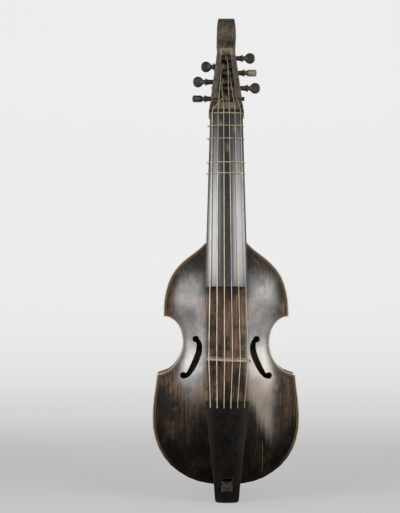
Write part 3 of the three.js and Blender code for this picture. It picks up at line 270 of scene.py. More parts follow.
def belly_age(tree, place, colour, patches):
    """The inlaid line along the belly's edge, painted shade on the lower bout, darkening towards the edge, a painted
    reflection beside the tailpiece, a pale rim line of wear and painted highlight, drying cracks, and the polish to
    the left and right of the strings."""
    from_edge = add_node(tree, "Attribute", attribute_name="edge_distance").outputs["Fac"]
    x, _, z = add_node(tree, "SeparateXYZ", [place]).outputs
    side = add_node(tree, "Math", [x], **ABSOLUTE)
    stain_place = add_node(tree, "Mapping", {"Vector": place, "Scale": (38, 38, 30)})
    stains = add_node(tree, "TexNoise", {"Vector": stain_place, "Scale": 1.0, "Detail": 8.0, "Roughness": 0.7})
    # Painted shade darkens the lower bout; the colour is also darker towards the top and towards the edge, and
    # blotched by stains
    shade = faded(
        tree, 1.0, (z, -110 * MM, 35 * MM, 0.12, 1.0), (z, 165 * MM, 105 * MM, 0.4, 1.0),
        (from_edge, 2 * MM, 26 * MM, 0.6, 1.0), (stains, 0.42, 0.58, 0.25, 1.4),
    )
    colour = add_node(tree, "VectorMath", {0: colour, "Scale": shade}, **SCALE)
    # The painted reflection beside the tailpiece and the shine end at this height, with a fringe along the grain
    lowest = add_node(tree, "MapRange", (x, 33 * MM, 62 * MM, -56 * MM, -114 * MM))
    fringe_place = add_node(tree, "Mapping", {"Vector": place, "Scale": (260, 0, 9)})
    fringe = add_node(tree, "TexNoise", {"Vector": fringe_place, "Scale": 1.0, "Detail": 4.0})
    fringed = add_node(tree, "Math", (fringe, 36 * MM, lowest), operation="MULTIPLY_ADD")
    height = add_node(tree, "Math", (z, fringed), **SUBTRACT)
    rubbed = faded(
        tree, 1.0, (patches, 0.35, 0.6, 0.35, 0.75), (x, 26 * MM, 40 * MM), (x, 74 * MM, 62 * MM),
        (height, -8 * MM, 24 * MM), (z, 60 * MM, 0.0),
    )
    # Painted reflection: the paler stretch right of the tailpiece stands in for the softbox's sheen on the varnish
    colour = add_node(tree, "Mix", {0: rubbed, 6: colour, 7: linear("85725A")}, **MIX)
    from_line = distance_from(tree, from_edge, PURFLING_INSET)
    inlay = add_node(tree, "MapRange", (from_line, PURFLING_HALF * 1.3, PURFLING_HALF * 1.5, 0.9, 0.0))
    colour = add_node(tree, "Mix", {0: inlay, 6: colour, 7: linear("120D0A")}, **MIX)
    # Neither the line's heart nor the pale rim line is drawn at the lower end, which is left dark as painted shade
    clean = (z, -140 * MM, -90 * MM)
    heart = faded(tree, 1.0, (from_line, PURFLING_HALF * 0.5, PURFLING_HALF, 0.7, 0.0), clean)
    colour = add_node(tree, "Mix", {0: heart, 6: colour, 7: linear("6A5640")}, **MIX)
    # The pale rim line: wear, and a painted highlight along the edge
    worn = faded(tree, patches, (from_edge, 0.7 * MM, 2.0 * MM, 1.5, 0.0), clean)
    colour = add_node(tree, "Mix", {0: worn, 6: colour, 7: linear("B8A68A")}, **MIX)
    wander_place = add_node(tree, "Mapping", {"Vector": place, "Scale": (0, 0, 60)})
    wander = add_node(tree, "TexNoise", {"Vector": wander_place, "Scale": 1.0})
    shifted = add_node(tree, "Math", (wander, CRACK_WANDER, x), operation="MULTIPLY_ADD")
    for crack_x, half_width, low, high, crack_shade in CRACKS:
        away = distance_from(tree, shifted, crack_x * MM + CRACK_WANDER / 2)
        line = add_node(tree, "MapRange", (away, 0.0, half_width * MM, 0.7, 0.0), **SMOOTH)
        above = add_node(tree, "Math", (z, low * MM), operation="GREATER_THAN")
        below = add_node(tree, "Math", (z, high * MM), operation="LESS_THAN")
        between = add_node(tree, "Math", (above, below), **MULTIPLY)
        amount = add_node(tree, "Math", (line, between), **MULTIPLY)
        colour = add_node(tree, "Mix", {0: amount, 6: colour, 7: linear(crack_shade)}, **MIX)
    taper = add_node(tree, "MapRange", (x, -20 * MM, 20 * MM, -16 * MM, -5 * MM))
    tapered = add_node(tree, "MapRange", (z, -90 * MM, 70 * MM, taper, 0.0))
    strip = add_node(tree, "Math", (side, tapered), **SUBTRACT)
    shine = faded(
        tree, 1.0, (stains, 0.4, 0.6, 0.8, 1.0), (side, 24 * MM, 38 * MM), (strip, 88 * MM, 62 * MM),
        (height, -18 * MM, 34 * MM), (z, 165 * MM, 100 * MM),
    )
    sheen = add_node(tree, "MapRange", (z, -110 * MM, 0.0, 0.15, 0.5))
    lower_polish = add_node(tree, "MapRange", (z, 30 * MM, -10 * MM, 2.7, 2.0))
    polish = add_node(tree, "MapRange", (z, 120 * MM, 60 * MM, 2.3, lower_polish))
    return {"Base Color": colour, "Coat Weight": shine, "Coat IOR": polish, "Specular IOR Level": sheen}


def throat_wear(tree, place, colour, patches):
    """The head's paler rubbed triangle above the nut, the paler patch under the scroll, the cheeks that darken
    upwards from the nut, and the scroll darker towards its top."""
    x, _, z = add_node(tree, "SeparateXYZ", [place]).outputs
    side = add_node(tree, "Math", [x], **ABSOLUTE)
    tall = add_node(tree, "Math", (side, -1.3, 424 * MM), operation="MULTIPLY_ADD")
    below = add_node(tree, "Math", (tall, z), **SUBTRACT)
    throat = faded(tree, 1.0, (below, 0.0, 9 * MM), (z, 392 * MM, 400 * MM, 0.0, 0.25))
    colour = add_node(tree, "Mix", {0: throat, 6: colour, 7: linear("7D6C58")}, **MIX)
    patch = faded(tree, 0.4, (z, 478 * MM, 482 * MM), (z, 492 * MM, 488 * MM), (side, 12 * MM, 7 * MM))
    colour = add_node(tree, "Mix", {0: patch, 6: colour, 7: linear("A59680")}, **MIX)
    shade = faded(tree, 1.0, (z, 522 * MM, 540 * MM, 1.0, 0.45), (z, 400 * MM, 430 * MM, 1.6, 1.0))
    return {"Base Color": add_node(tree, "VectorMath", {0: colour, "Scale": shade}, **SCALE)}


def board_wear(tree, place, colour, patches):
    """The fingerboard's rubbed spots between the frets, where the fingertips stop the strings, its worn edge at the
    nut, and its polish, which is strongest towards the body and weakest along the middle."""
    for spot_x, spot_z, reach in ((2, 338, 11), (-9, 374, 8), (12, 366, 9)):
        spot = add_node(tree, "VectorMath", (place, (spot_x * MM, -66 * MM, spot_z * MM)), **SUBTRACT)
        narrowed = add_node(tree, "VectorMath", (spot, (2.2, 0.0, 1.0)), **MULTIPLY)
        away = add_node(tree, "VectorMath", [narrowed], operation="LENGTH").outputs["Value"]
        near = add_node(tree, "MapRange", (away, 0.0, reach * MM, 0.9, 0.0), **SMOOTH)
        amount = add_node(tree, "Math", (near, patches), **MULTIPLY)
        colour = add_node(tree, "Mix", {0: amount, 6: colour, 7: linear("8A7A66")}, **MIX)
    x, _, z = add_node(tree, "SeparateXYZ", [place]).outputs
    board_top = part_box("fingerboard")[1][2]
    end_line = add_node(tree, "MapRange", (z, board_top - 2.4 * MM, board_top - 1.8 * MM, 0.0, 0.7))
    colour = add_node(tree, "Mix", {0: end_line, 6: colour, 7: linear("A89880")}, **MIX)
    side = add_node(tree, "Math", [x], **ABSOLUTE)
    shine = faded(
        tree, 1.0, (z, 230 * MM, 330 * MM, 0.9, 0.2), (side, 2 * MM, 10 * MM, 0.65, 1.0),
        (x, 8 * MM, 16 * MM, 1.0, 0.78),
    )
    return {"Base Color": colour, "Coat Weight": shine, "Coat IOR": 2.0}


def tailpiece_wear(tree, place, colour, patches):
    """The tailpiece's sides, rubbed browner than its middle."""
    x = add_node(tree, "SeparateXYZ", [place]).outputs[0]
    side = add_node(tree, "Math", [x], **ABSOLUTE)
    amount = add_node(tree, "MapRange", (side, 12 * MM, 28 * MM, 0.0, 0.7), **SMOOTH)
    return {"Base Color": add_node(tree, "Mix", {0: amount, 6: colour, 7: linear("2C2722")}, **MIX)}


def paler_peg(tree, place, colour, patches):
    """The head of one peg, which has darkened less than the others."""
    low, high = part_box("peg_right_middle")
    x, _, z = add_node(tree, "SeparateXYZ", [place]).outputs
    away = distance_from(tree, z, (low[2] + high[2]) / 2)
    near = add_node(tree, "Math", (away, 7 * MM), operation="LESS_THAN")
    outside = add_node(tree, "MapRange", (x, high[0] - 15 * MM, high[0] - 12 * MM, 0.0, 0.6))
    amount = add_node(tree, "Math", (near, outside), **MULTIPLY)
    return {"Base Color": add_node(tree, "Mix", {0: amount, 6: colour, 7: linear("8E7F6E")}, **MIX)}


# Belly: quarter-sawn spruce, straight grain about 1 mm wide, under brown oil varnish that has darkened with age.
# The grain is drawn 1.6 mm wide, because finer lines vanish in the render.
belly_spruce = old_wood(
    "varnished_spruce", ("1C1510", "4A382A", "7C6650"), 1.6 * MM, 60, 30 * MM, (0.5, 0.62), 0.05 * MM, ior=1.3,
    coat_gloss=0.3, extra=belly_age,
)
# Ribs and back: curly maple under the same varnish, with bars of figure about 9 mm apart
body_maple = old_wood(
    "varnished_maple", ("382818", "563E28", "6E5238"), 1.3 * MM, 30, 45 * MM, (0.28, 0.4), 0.05 * MM, flame=0.22,
    flame_length=9 * MM, coat=0.4, wear=0.5, edge=1.2 * MM,
)
# Neck and head: maple stained brown, blotched and blackened by hands, worn paler on its edges
head_maple = old_wood(
    "worn_maple", ("1A1612", "3C332A", "66584A"), 2.0 * MM, 2, 7 * MM, (0.36, 0.58), 0.15 * MM, wear=0.6,
    edge=1.2 * MM, wear_shade="94826A", patch_depth=1.8, ior=1.4, extra=throat_wear,
)
# Fingerboard: hardwood stained near black and polished by the left hand, so it shines more than the rest
# Its edges are painted paler: wear, and a painted highlight on the rounded sides
board_wood = old_wood(
    "polished_blackwood", ("12100F", "1C1917", "2A2624"), 1.2 * MM, 50, 30 * MM, (0.26, 0.34), 0.03 * MM,
    coat_gloss=0.22, wear=0.9, edge=1.2 * MM, wear_shade="B0A290", extra=board_wear,
)
# Tailpiece and nut: the same black-stained hardwood, waxed and not rubbed bright
black_wood = old_wood(
    "waxed_blackwood", ("080706", "12100E", "24201D"), 1.2 * MM, 24, 16 * MM, (0.4, 0.55), 0.04 * MM, wear=0.7,
    edge=0.8 * MM, wear_shade="8C7C68", ior=1.15, patch_depth=1.8, extra=tailpiece_wear,
)
# Pegs: boxwood or plum, turned, stained dark and rubbed shiny at the heads
peg_wood = old_wood(
    "turned_peg_wood", ("15110E", "2A221C", "433629"), 1.6 * MM, 14, 9 * MM, (0.25, 0.42), 0.05 * MM, wear=0.8,
    edge=0.8 * MM, wear_shade="7A6A56", extra=paler_peg,
)
# Hook bar: a hardwood stained darker than the pegs and waxed, knife-cut at its end
hook_wood = old_wood(
    "stained_hardwood", ("0E0B09", "1C1612", "2E251D"), 1.5 * MM, 12, 12 * MM, (0.3, 0.48), 0.06 * MM, wear=0.9,
    edge=0.9 * MM, wear_shade="B8A68C", coat=0.45, coat_gloss=0.3, ior=1.3,
)
# Bridge: bare maple, scraped, with the fine flecks of a quarter-sawn face, darkened by handling
bridge_maple = old_wood(
    "bridge_maple", ("6A5E50", "8C8070", "A69A8A"), 0.9 * MM, 5, 16 * MM, (0.45, 0.62), 0.04 * MM, wear=1.2,
    edge=0.8 * MM, wear_shade="F0E8D8",
)
# Inner spruce: bare, matt, yellowed
plain_spruce = old_wood(
    "plain_spruce", ("94703F", "B18D59", "C9A874"), 1.5 * MM, 40, 40 * MM, (0.7, 0.88), 0.08 * MM,
)


def twisted_gut(name, shade):
    """Sheep's gut, twisted and dried: cream, half clear, its twist drawn about 1.2 mm apart so that it shows."""
    material, tree, place = new_material(name)
    twist_place = add_node(tree, "Mapping", {"Vector": place, "Scale": (0.45, 0.45, 0.83)})
    twist = add_node(tree, "TexWave", {"Vector": twist_place, "Scale": 1 / MM, "Distortion": 0.6, "Detail": 1.0},
                     wave_type="BANDS", bands_direction="DIAGONAL")
    stain = add_node(tree, "TexNoise", {"Vector": place, "Scale": 60.0, "Detail": 3.0})
    tone = add_node(tree, "ValToRGB", [stain], [
        (0.3, linear("A8997F")), (0.5, linear("CCC0A6")), (0.7, linear("E2D8C2")),
    ])
    z = add_node(tree, "SeparateXYZ", [place]).outputs[2]
    # Greyer from handling towards the nut
    handled = add_node(tree, "MapRange", (z, 240 * MM, 405 * MM, shade, shade * 0.5), **SMOOTH)
    tone = add_node(tree, "VectorMath", {0: tone, "Scale": handled}, **SCALE)
    raised = add_node(tree, "Bump", {"Strength": 0.5, "Distance": 0.05 * MM, "Height": twist.outputs["Fac"]})
    roughness = add_node(tree, "MapRange", {"Value": stain, "To Min": 0.3, "To Max": 0.55})
    shader = add_node(tree, "BsdfPrincipled", {
        "Base Color": tone, "Roughness": roughness, "Normal": raised, "Subsurface Weight": 0.15,
        "Subsurface Radius": (0.002, 0.0012, 0.0007), "IOR": 1.5,
    })
    add_node(tree, "OutputMaterial", [shader])
    return material


gut = twisted_gut("twisted_gut", 1.0)
# The wound ends on the pegs, darker as painted shade of the pegbox's channel
shaded_wound_gut = twisted_gut("shaded_wound_gut", 0.6)


# Sizes of the body that the plates, the bridge and the strings share: heights start at the body's lower end

BODY_FOOT = -161 * MM
LOWER_BOUT_WIDTH = 217 * MM
WAIST_WIDTH = 128 * MM
WAIST_HEIGHT = 211 * MM
LOWER_CORNER_HEIGHT = 162.5 * MM
BELLY_SEAT = -69 * MM
BELLY_THICKNESS = 3.5 * MM
ARCH_HEIGHT = 13 * MM
ARCH_RISE = 40 * MM
SEAT_GAP = 0.3 * MM


# Belly: the outline is read from the CAD node's rim, the arch and the sound holes are drawn finer than there

RIM_RADIUS = 1.3 * MM
# The finished plate is 0.9 mm thinner than the CAD belly, on the inside
PLATE_DEPTH = 2.6 * MM
ROW_STEP = 3 * MM
# Columns of points beside the edge: how far each lies inside it. They close up where the body is narrower to a side
# than the next size.
EDGE_INSETS = (0.0, 0.35 * MM, 0.8 * MM, 1.3 * MM, 2.4 * MM, 3.8 * MM, 5.4 * MM)
NARROW_HALF_WIDTH = 14 * MM
INNER_COLUMNS = 26
ARCH_SOFTENING = 20 * MM
# Beside the strings the arch falls away faster than in the CAD belly
SHOULDER_START = 28 * MM
SHOULDER_END = 70 * MM
SHOULDER_DROP = 3.5 * MM
# Sound hole's middle line: shares of the waist's half width, and of the height from lower corner to waist
SOUND_HOLE_LINE = (
    (0.7, 1.095), (0.645, 1.033), (0.616, 0.887), (0.631, 0.691), (0.673, 0.526), (0.763, 0.258), (0.86, 0.05),
    (0.935, -0.04), (0.985, -0.012),
)
SOUND_HOLE_SHARES = (0, 0.2, 0.75, 1, 1, 0.9, 0.4, 0, 0)
SOUND_HOLE_NECK = 5.8 * MM
SOUND_HOLE_WIDTH = 9.4 * MM
SOUND_HOLE_EYE = 9.8 * MM
SOUND_HOLE_STEPS = 6


def belly_rim():
    """Half widths of the belly by height, from the CAD belly's back face beyond the hook bar's notch."""
    notch_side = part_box("hook_bar")[1][0] + 0.5 * MM
    widths = {}
    for vertex in frame["nodes"]["belly"].data.vertices:
        x, y, z = vertex.co
        if abs(y - BELLY_SEAT) < 0.05 * MM and x > notch_side:
            height = round(z, 5)
            widths[height] = max(widths.get(height, 0), x)
    return [(height, widths[height]) for height in sorted(widths)]


def width_at(rim, height):
    for (low, narrow), (high, wide) in zip(rim, rim[1:]):
        if low <= height <= high:
            share = (height - low) / (high - low) if high > low else 0
            return narrow + share * (wide - narrow)
    return rim[-1][1]


def belly_surface(x, from_edge):
    """How far the belly's outer face stands in front of its seat."""
    rise = math.sin(math.pi / 2 * min(1, from_edge / ARCH_RISE)) ** 2
    across = math.cos(math.pi / 2 * min(1, abs(x) / (LOWER_BOUT_WIDTH / 2)))
    share = min(1, max(0, (abs(x) - SHOULDER_START) / (SHOULDER_END - SHOULDER_START)))
    arch = rise * (ARCH_HEIGHT * across - SHOULDER_DROP * share ** 2 * (3 - 2 * share))
    round_off = RIM_RADIUS - math.sqrt(max(0, RIM_RADIUS ** 2 - max(0, RIM_RADIUS - from_edge) ** 2))
    return BELLY_THICKNESS + arch - round_off


def sound_hole_cutter(side):
    """A flat C drawn through the hole's middle line and pushed through the belly, with a round eye at each end."""
    points = [
        Vector((side * out * WAIST_WIDTH / 2, 0,
                BODY_FOOT + LOWER_CORNER_HEIGHT + up * (WAIST_HEIGHT - LOWER_CORNER_HEIGHT)))
        for out, up in SOUND_HOLE_LINE
    ]
    widths = [SOUND_HOLE_NECK + share * (SOUND_HOLE_WIDTH - SOUND_HOLE_NECK) for share in SOUND_HOLE_SHARES]
    line, sizes = [], []
    for i in range(len(points) - 1):
        before = points[max(i - 1, 0)]
        after = points[min(i + 2, len(points) - 1)]
        last_point = i == len(points) - 2
        for k in range(SOUND_HOLE_STEPS + last_point):
            t = k / SOUND_HOLE_STEPS
            start_pull = (points[i + 1] - before) / 2
            end_pull = (after - points[i]) / 2
            line.append(
                (2 * t ** 3 - 3 * t ** 2 + 1) * points[i] + (t ** 3 - 2 * t ** 2 + t) * start_pull
                + (3 * t ** 2 - 2 * t ** 3) * points[i + 1] + (t ** 3 - t ** 2) * end_pull
            )
            sizes.append(widths[i] * (1 - t) + widths[i + 1] * t)
    left, right = [], []
    for i, point in enumerate(line):
        along = (line[min(i + 1, len(line) - 1)] - line[max(i - 1, 0)]).normalized()
        normal = Vector((-along.z, 0, along.x))
        left.append(point + normal * sizes[i] / 2)
        right.append(point - normal * sizes[i] / 2)
    ring = left + right[::-1]
    bpy.ops.mesh.primitive_circle_add(vertices=len(ring), radius=LOWER_BOUT_WIDTH, fill_type="NGON",
                                      rotation=(math.pi / 2, 0, 0))
    stroke = bpy.context.object
    select_only(stroke)
    bpy.ops.object.transform_apply(location=True, rotation=True, scale=True)
    for vertex, point in zip(stroke.data.vertices, ring):
        vertex.co = point + Vector((0, BELLY_SEAT * 2, 0))
    edit(stroke)
    bpy.ops.mesh.select_all(action="SELECT")
    bpy.ops.mesh.extrude_region_move(TRANSFORM_OT_translate={"value": (0, -BELLY_SEAT * 1.5, 0)})
    bpy.ops.mesh.select_all(action="SELECT")
    bpy.ops.mesh.normals_make_consistent(inside=False)
    close_edit()
    cutters = [stroke]
    for point in (points[0], points[-1]):
        bpy.ops.mesh.primitive_cylinder_add(
            vertices=32, radius=SOUND_HOLE_EYE / 2, depth=-BELLY_SEAT * 1.5, rotation=(math.pi / 2, 0, 0),
            location=point + Vector((0, BELLY_SEAT * 1.25, 0)),
        )
        cutters.append(bpy.context.object)
    return cutters


def rim_tree(rim):
    """A search tree of points along the belly's edge, right half."""
    steps = 40
    places = []
    for (low, narrow), (high, wide) in zip(rim, rim[1:]):
        for k in range(steps):
            share = k / steps
            places.append((narrow + share * (wide - narrow), 0, low + share * (high - low)))
    for end in (rim[0], rim[-1]):
        places += [(end[1] * k / steps, 0, end[0]) for k in range(steps)]
    tree = kdtree.KDTree(len(places))
    for i, place in enumerate(places):
        tree.insert(place, i)
    tree.balance()
    return tree


def soft_surface(edge_points, x, z):
    """The belly's surface averaged over a small disc, so that the arch has no creases inside the corners."""
    reach = min(ARCH_SOFTENING, 0.8 * edge_points.find((abs(x), 0, z))[2])
    turns = [math.pi / 4 * k for k in range(8)]
    places = [(x, z)]
    for radius in (reach / 2, reach):
        places += [(x + radius * math.cos(turn), z + radius * math.sin(turn)) for turn in turns]
    rises = [belly_surface(px, edge_points.find((abs(px), 0, pz))[2]) for px, pz in places]
    return sum(rises) / len(rises)


def make_belly():
    """A grid laid over the outline, arched, thickened and cut for the sound holes and the hook bar."""
    rim = belly_rim()
    heights = []
    for (low, _), (high, _) in zip(rim, rim[1:]):
        parts = max(1, round((high - low) / ROW_STEP))
        heights += [low + (high - low) * k / parts for k in range(parts)]
    heights.append(rim[-1][0])
    side_columns = len(EDGE_INSETS)
    columns = 2 * side_columns + INNER_COLUMNS + 1
    edge_points = rim_tree(rim)
    bpy.ops.mesh.primitive_grid_add(x_subdivisions=columns - 1, y_subdivisions=len(heights) - 1, size=1)
    belly = bpy.context.object
    belly.name = "belly_plate"
    for vertex in belly.data.vertices:
        column, row = vertex.index % columns, vertex.index // columns
        half = width_at(rim, heights[row])
        reach = min(1.0, half / NARROW_HALF_WIDTH)
        if column < side_columns:
            x = -half + EDGE_INSETS[column] * reach
        elif column >= columns - side_columns:
            x = half - EDGE_INSETS[columns - 1 - column] * reach
        else:
            inner_half = half - EDGE_INSETS[-1] * reach
            share = (column - side_columns + 1) / (INNER_COLUMNS + 2)
            x = inner_half * (2 * share - 1)
        at_side = column in (0, columns - 1)
        rise = belly_surface(x, 0.0) if at_side else soft_surface(edge_points, x, heights[row])
        vertex.co = (x, BELLY_SEAT - rise, heights[row])
    edit(belly)
    bpy.ops.mesh.select_all(action="SELECT")
    bpy.ops.mesh.extrude_region_move(TRANSFORM_OT_translate={"value": (0, PLATE_DEPTH, 0)})
    bpy.ops.mesh.select_all(action="SELECT")
    bpy.ops.mesh.normals_make_consistent(inside=False)
    close_edit()
    hook_low, hook_high = (Vector(corner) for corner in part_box("hook_bar"))
    bpy.ops.mesh.primitive_cube_add(size=1, location=(hook_low + hook_high) / 2)
    hook_notch = bpy.context.object
    hook_notch.scale = hook_high - hook_low + Vector((1, 1, 1)) * 2 * SEAT_GAP
    for cutter in sound_hole_cutter(-1) + sound_hole_cutter(1) + [hook_notch]:
        apply_modifier(belly, "BOOLEAN", operation="DIFFERENCE", solver="MANIFOLD", object=cutter)
        bpy.data.objects.remove(cutter)
    distance = belly.data.attributes.new("edge_distance", "FLOAT", "POINT")
    for vertex, stored in zip(belly.data.vertices, distance.data):
        stored.value = edge_points.find((abs(vertex.co.x), 0, vertex.co.z))[2]
    smooth(belly, 40)
    settle(belly, belly_spruce, "root", "varnished_spruce", "belly")


make_belly()


# The other plates and the carved pieces keep their CAD shape, with joined faces and eased edges

settle(merged_copy("back", "back_plate", 0.8 * MM), body_maple, "root", "varnished_maple", "back")
for side in ("left", "right"):
    for bout in ("upper", "middle", "lower"):
        node = f"rib_{bout}_{side}"
        settle(merged_copy(node, f"rib_wall_{bout}_{side}"), body_maple, "root", "varnished_maple", node)

INNER_PIECES = ("lining", "corner_block", "top_block", "tail_block", "bass_bar", "sound_post", "back_brace")
for node, cad_piece in frame["nodes"].items():
    if node.startswith(INNER_PIECES):
        cad_piece.data.materials.clear()
        cad_piece.data.materials.append(plain_spruce)

# CAD node, name of the finished piece, eased edge, least angle of an edge that is eased, material and slot
CARVED_PIECES = (
    ("neck_and_head", "neck_pegbox_and_scroll", 0.35 * MM, 32, head_maple, "worn_maple"),
    ("fingerboard", "fingerboard_arched", 0.5 * MM, 25, board_wood, "blackened_wood"),
    ("nut", "nut_ridge", 0.3 * MM, 32, black_wood, "blackened_wood"),
    ("tailpiece", "tailpiece_plate", 0.7 * MM, 25, black_wood, "blackened_wood"),
    ("hook_bar", "hook_bar_square", 0.3 * MM, 20, hook_wood, "stained_wood"),
    ("bridge", "bridge_carved", 0.5 * MM, 32, bridge_maple, "bridge_maple"),
)
# The hook bar's free end, in front of the belly, is swollen until it fills the mortise from side to side
HOOK_SWELL = 1.12
HOOK_FREE_END = BELLY_SEAT - 6 * MM
hook_middle = (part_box("hook_bar")[0][0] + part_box("hook_bar")[1][0]) / 2
for node, name, bevel, degrees, material, slot in CARVED_PIECES:
    piece = merged_copy(node, name, bevel, degrees)
    for vertex in piece.data.vertices:
        if node == "hook_bar" and vertex.co.y < HOOK_FREE_END:
            vertex.co.x = hook_middle + (vertex.co.x - hook_middle) * HOOK_SWELL
    settle(piece, material, "root", slot, node)


# Pegs: one turned and flattened peg, copied to its six places

PEG_EDGE_ON = ("left_lower", "right_middle")
PEG_HEAD_WIDTH = 16.6 * MM
PEG_HEAD_THICKNESS = 10.5 * MM
PEG_RING = 12 * MM
PEG_BEAD = 9.6 * MM
PEG_SHAFT = 7.3 * MM
PEG_TIP = 6.3 * MM
# Places along the peg back from the head's end, and the diameter there
PEG_PROFILE = (
    (38.0, PEG_SHAFT), (25.0, PEG_SHAFT), (23.0, PEG_SHAFT * 1.04), (22.2, PEG_BEAD * 0.9), (21.6, PEG_BEAD),
    (21.0, PEG_BEAD * 0.92), (20.4, PEG_SHAFT * 1.02), (19.9, PEG_RING * 0.92), (19.5, PEG_RING), (18.9, PEG_RING),
    (18.4, PEG_RING * 0.9), (17.6, PEG_SHAFT * 0.98), (16.4, PEG_SHAFT * 0.88), (15.2, PEG_SHAFT * 0.94),
    (14.2, PEG_HEAD_WIDTH * 0.56), (12.6, PEG_HEAD_WIDTH * 0.76), (10.4, PEG_HEAD_WIDTH * 0.93),
    (8.0, PEG_HEAD_WIDTH), (6.0, PEG_HEAD_WIDTH * 0.99), (3.6, PEG_HEAD_WIDTH * 0.88),
    (1.6, PEG_HEAD_WIDTH * 0.68), (0.5, PEG_HEAD_WIDTH * 0.42), (0.0, PEG_HEAD_WIDTH * 0.18),
)
PEG_HEAD_START = 15.2
PEG_TIP_SIDE = -30 * MM


def model_peg():
    """A peg along +X with its head's end at the origin, made of rings pushed out one after another."""
    first_place, first_size = PEG_PROFILE[0]
    bpy.ops.mesh.primitive_circle_add(
        vertices=28, radius=first_size / 2, fill_type="NGON", location=(-first_place * MM, 0, 0),
        rotation=(0, math.pi / 2, 0),
    )
    peg = bpy.context.object
    select_only(peg)
    bpy.ops.object.transform_apply(location=True, rotation=True, scale=True)
    edit(peg)
    bpy.ops.mesh.select_all(action="SELECT")
    before_place, before = first_place, (first_size, first_size)
    for place, size in PEG_PROFILE[1:]:
        wide, deep = size, min(size, PEG_HEAD_THICKNESS) if place < PEG_HEAD_START else size
        bpy.ops.mesh.extrude_region_move(TRANSFORM_OT_translate={"value": ((before_place - place) * MM, 0, 0)})
        bpy.ops.transform.resize(
            value=(1, deep / before[1], wide / before[0]), center_override=(-place * MM, 0, 0),
        )
        before_place, before = place, (wide, deep)
    bpy.ops.mesh.select_all(action="SELECT")
    bpy.ops.mesh.normals_make_consistent(inside=False)
    close_edit()
    return peg


hinges = {joint["child"].removeprefix("peg_"): joint for joint in frame["joints"] if joint["type"] == "hinge"}
first_peg = model_peg()
for place, joint in hinges.items():
    node = "peg_" + place
    low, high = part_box(node)
    on_left = place.startswith("left")
    head_end = -low[0] if on_left else high[0]
    tip_end = -high[0] if on_left else low[0]
    peg = bpy.data.objects.new("turned_" + node, first_peg.data.copy())
    bpy.context.scene.collection.objects.link(peg)
    for vertex in peg.data.vertices:
        if vertex.co.x < PEG_TIP_SIDE:
            vertex.co = (tip_end, vertex.co.y * PEG_TIP / PEG_SHAFT, vertex.co.z * PEG_TIP / PEG_SHAFT)
        else:
            vertex.co.x += head_end
    turn = Matrix.Rotation(math.pi / 2, 4, "X") if place in PEG_EDGE_ON else Matrix.Identity(4)
    flip = Matrix.Rotation(math.pi, 4, "Z") if on_left else Matrix.Identity(4)
    peg.data.transform(Matrix.Translation(joint["pos_m"]) @ flip @ turn)
    smooth(peg, 50)
    settle(peg, peg_wood, node, "peg_wood", node)
bpy.data.objects.remove(first_peg)


# Gut: strings, their windings on the pegs, and the tied frets

def gut_line(name, points, diameter, body, *nodes, closed=False, material=gut):
    """A round gut line along points."""
    curve = bpy.data.curves.new(name, "CURVE")
    curve.dimensions = "3D"
    curve.bevel_depth = diameter / 2
    curve.bevel_resolution = 3
    curve.use_fill_caps = True
    spline = curve.splines.new("POLY")
    spline.points.add(len(points) - 1)
    for place, point in zip(spline.points, points):
        place.co = (*point, 1)
    spline.use_cyclic_u = closed
    piece = bpy.data.objects.new(name, curve)
    bpy.context.scene.collection.objects.link(piece)
    select_only(piece)
    bpy.ops.object.convert(target="MESH")
    piece = bpy.context.object
    smooth(piece, 60)
    settle(piece, material, body, "gut", *nodes)


NECK_LEAN = math.radians(7.8)
HEAD_LEAN = NECK_LEAN + math.radians(12)
NUT_HEIGHT = 551.2 * MM
NUT_DEPTH = 58 * MM
NUT_THICKNESS = 3.7 * MM
NUT_RISE = 2.4 * MM
BOARD_RADIUS = 62 * MM
BOARD_LENGTH = 261.5 * MM
BOARD_WIDTH_AT_NUT = 48.3 * MM
BOARD_WIDTH_AT_END = 63 * MM
BOARD_EDGE = 4 * MM
BOARD_WEDGE = 2 * MM
BODY_LENGTH = 358 * MM
HEEL_LENGTH = 36 * MM
NECK_DEPTH_AT_NUT = 17 * MM
NECK_DEPTH_AT_HEEL = 22 * MM
BRIDGE_HEIGHT = 187 * MM
BRIDGE_RISE = 44 * MM
BRIDGE_RADIUS = 62 * MM
BRIDGE_SHIFT = 2.9 * MM
BRIDGE_TURN = math.radians(2.3)
BELLY_TOP = BELLY_THICKNESS - BELLY_SEAT + ARCH_HEIGHT
TAILPIECE_TOP = 125.6 * MM
TAILPIECE_BOTTOM = -24.8 * MM
TAILPIECE_TOP_DEPTH = 118 * MM
TAILPIECE_BOTTOM_DEPTH = 89 * MM
TAILPIECE_HALF_WIDTH = 32.1 * MM
TAILPIECE_CROWN = 4.6 * MM
TAILPIECE_EDGE = 3 * MM
TAILPIECE_SHIFT = 1.6 * MM
STRING_HOLE_DROP = 9 * MM
STRING_DIAMETERS = (1.4 * MM, 1.2 * MM, 1.05 * MM, 0.9 * MM, 0.75 * MM, 0.6 * MM)
SPACING_AT_NUT = 8.3 * MM
SPACING_AT_BRIDGE = 11.45 * MM
SPACING_AT_TAILPIECE = 10 * MM
PEG_MIDDLE_RADIUS = 3.4 * MM
CHANNEL_HALF_WIDTH = 12.2 * MM
# Each peg's string, bass string 0, and where its winding starts, as a share of the channel's half width
WINDINGS = {
    "left_lower": (0, -0.26), "right_lower": (5, 0.77), "left_middle": (2, -0.6), "right_middle": (4, 0.41),
    "left_upper": (1, -0.57), "right_upper": (3, 0.17),
}
WINDING_TURNS = 2.75
WINDING_GAP = 0.55 * MM
TURN_STEPS = 36

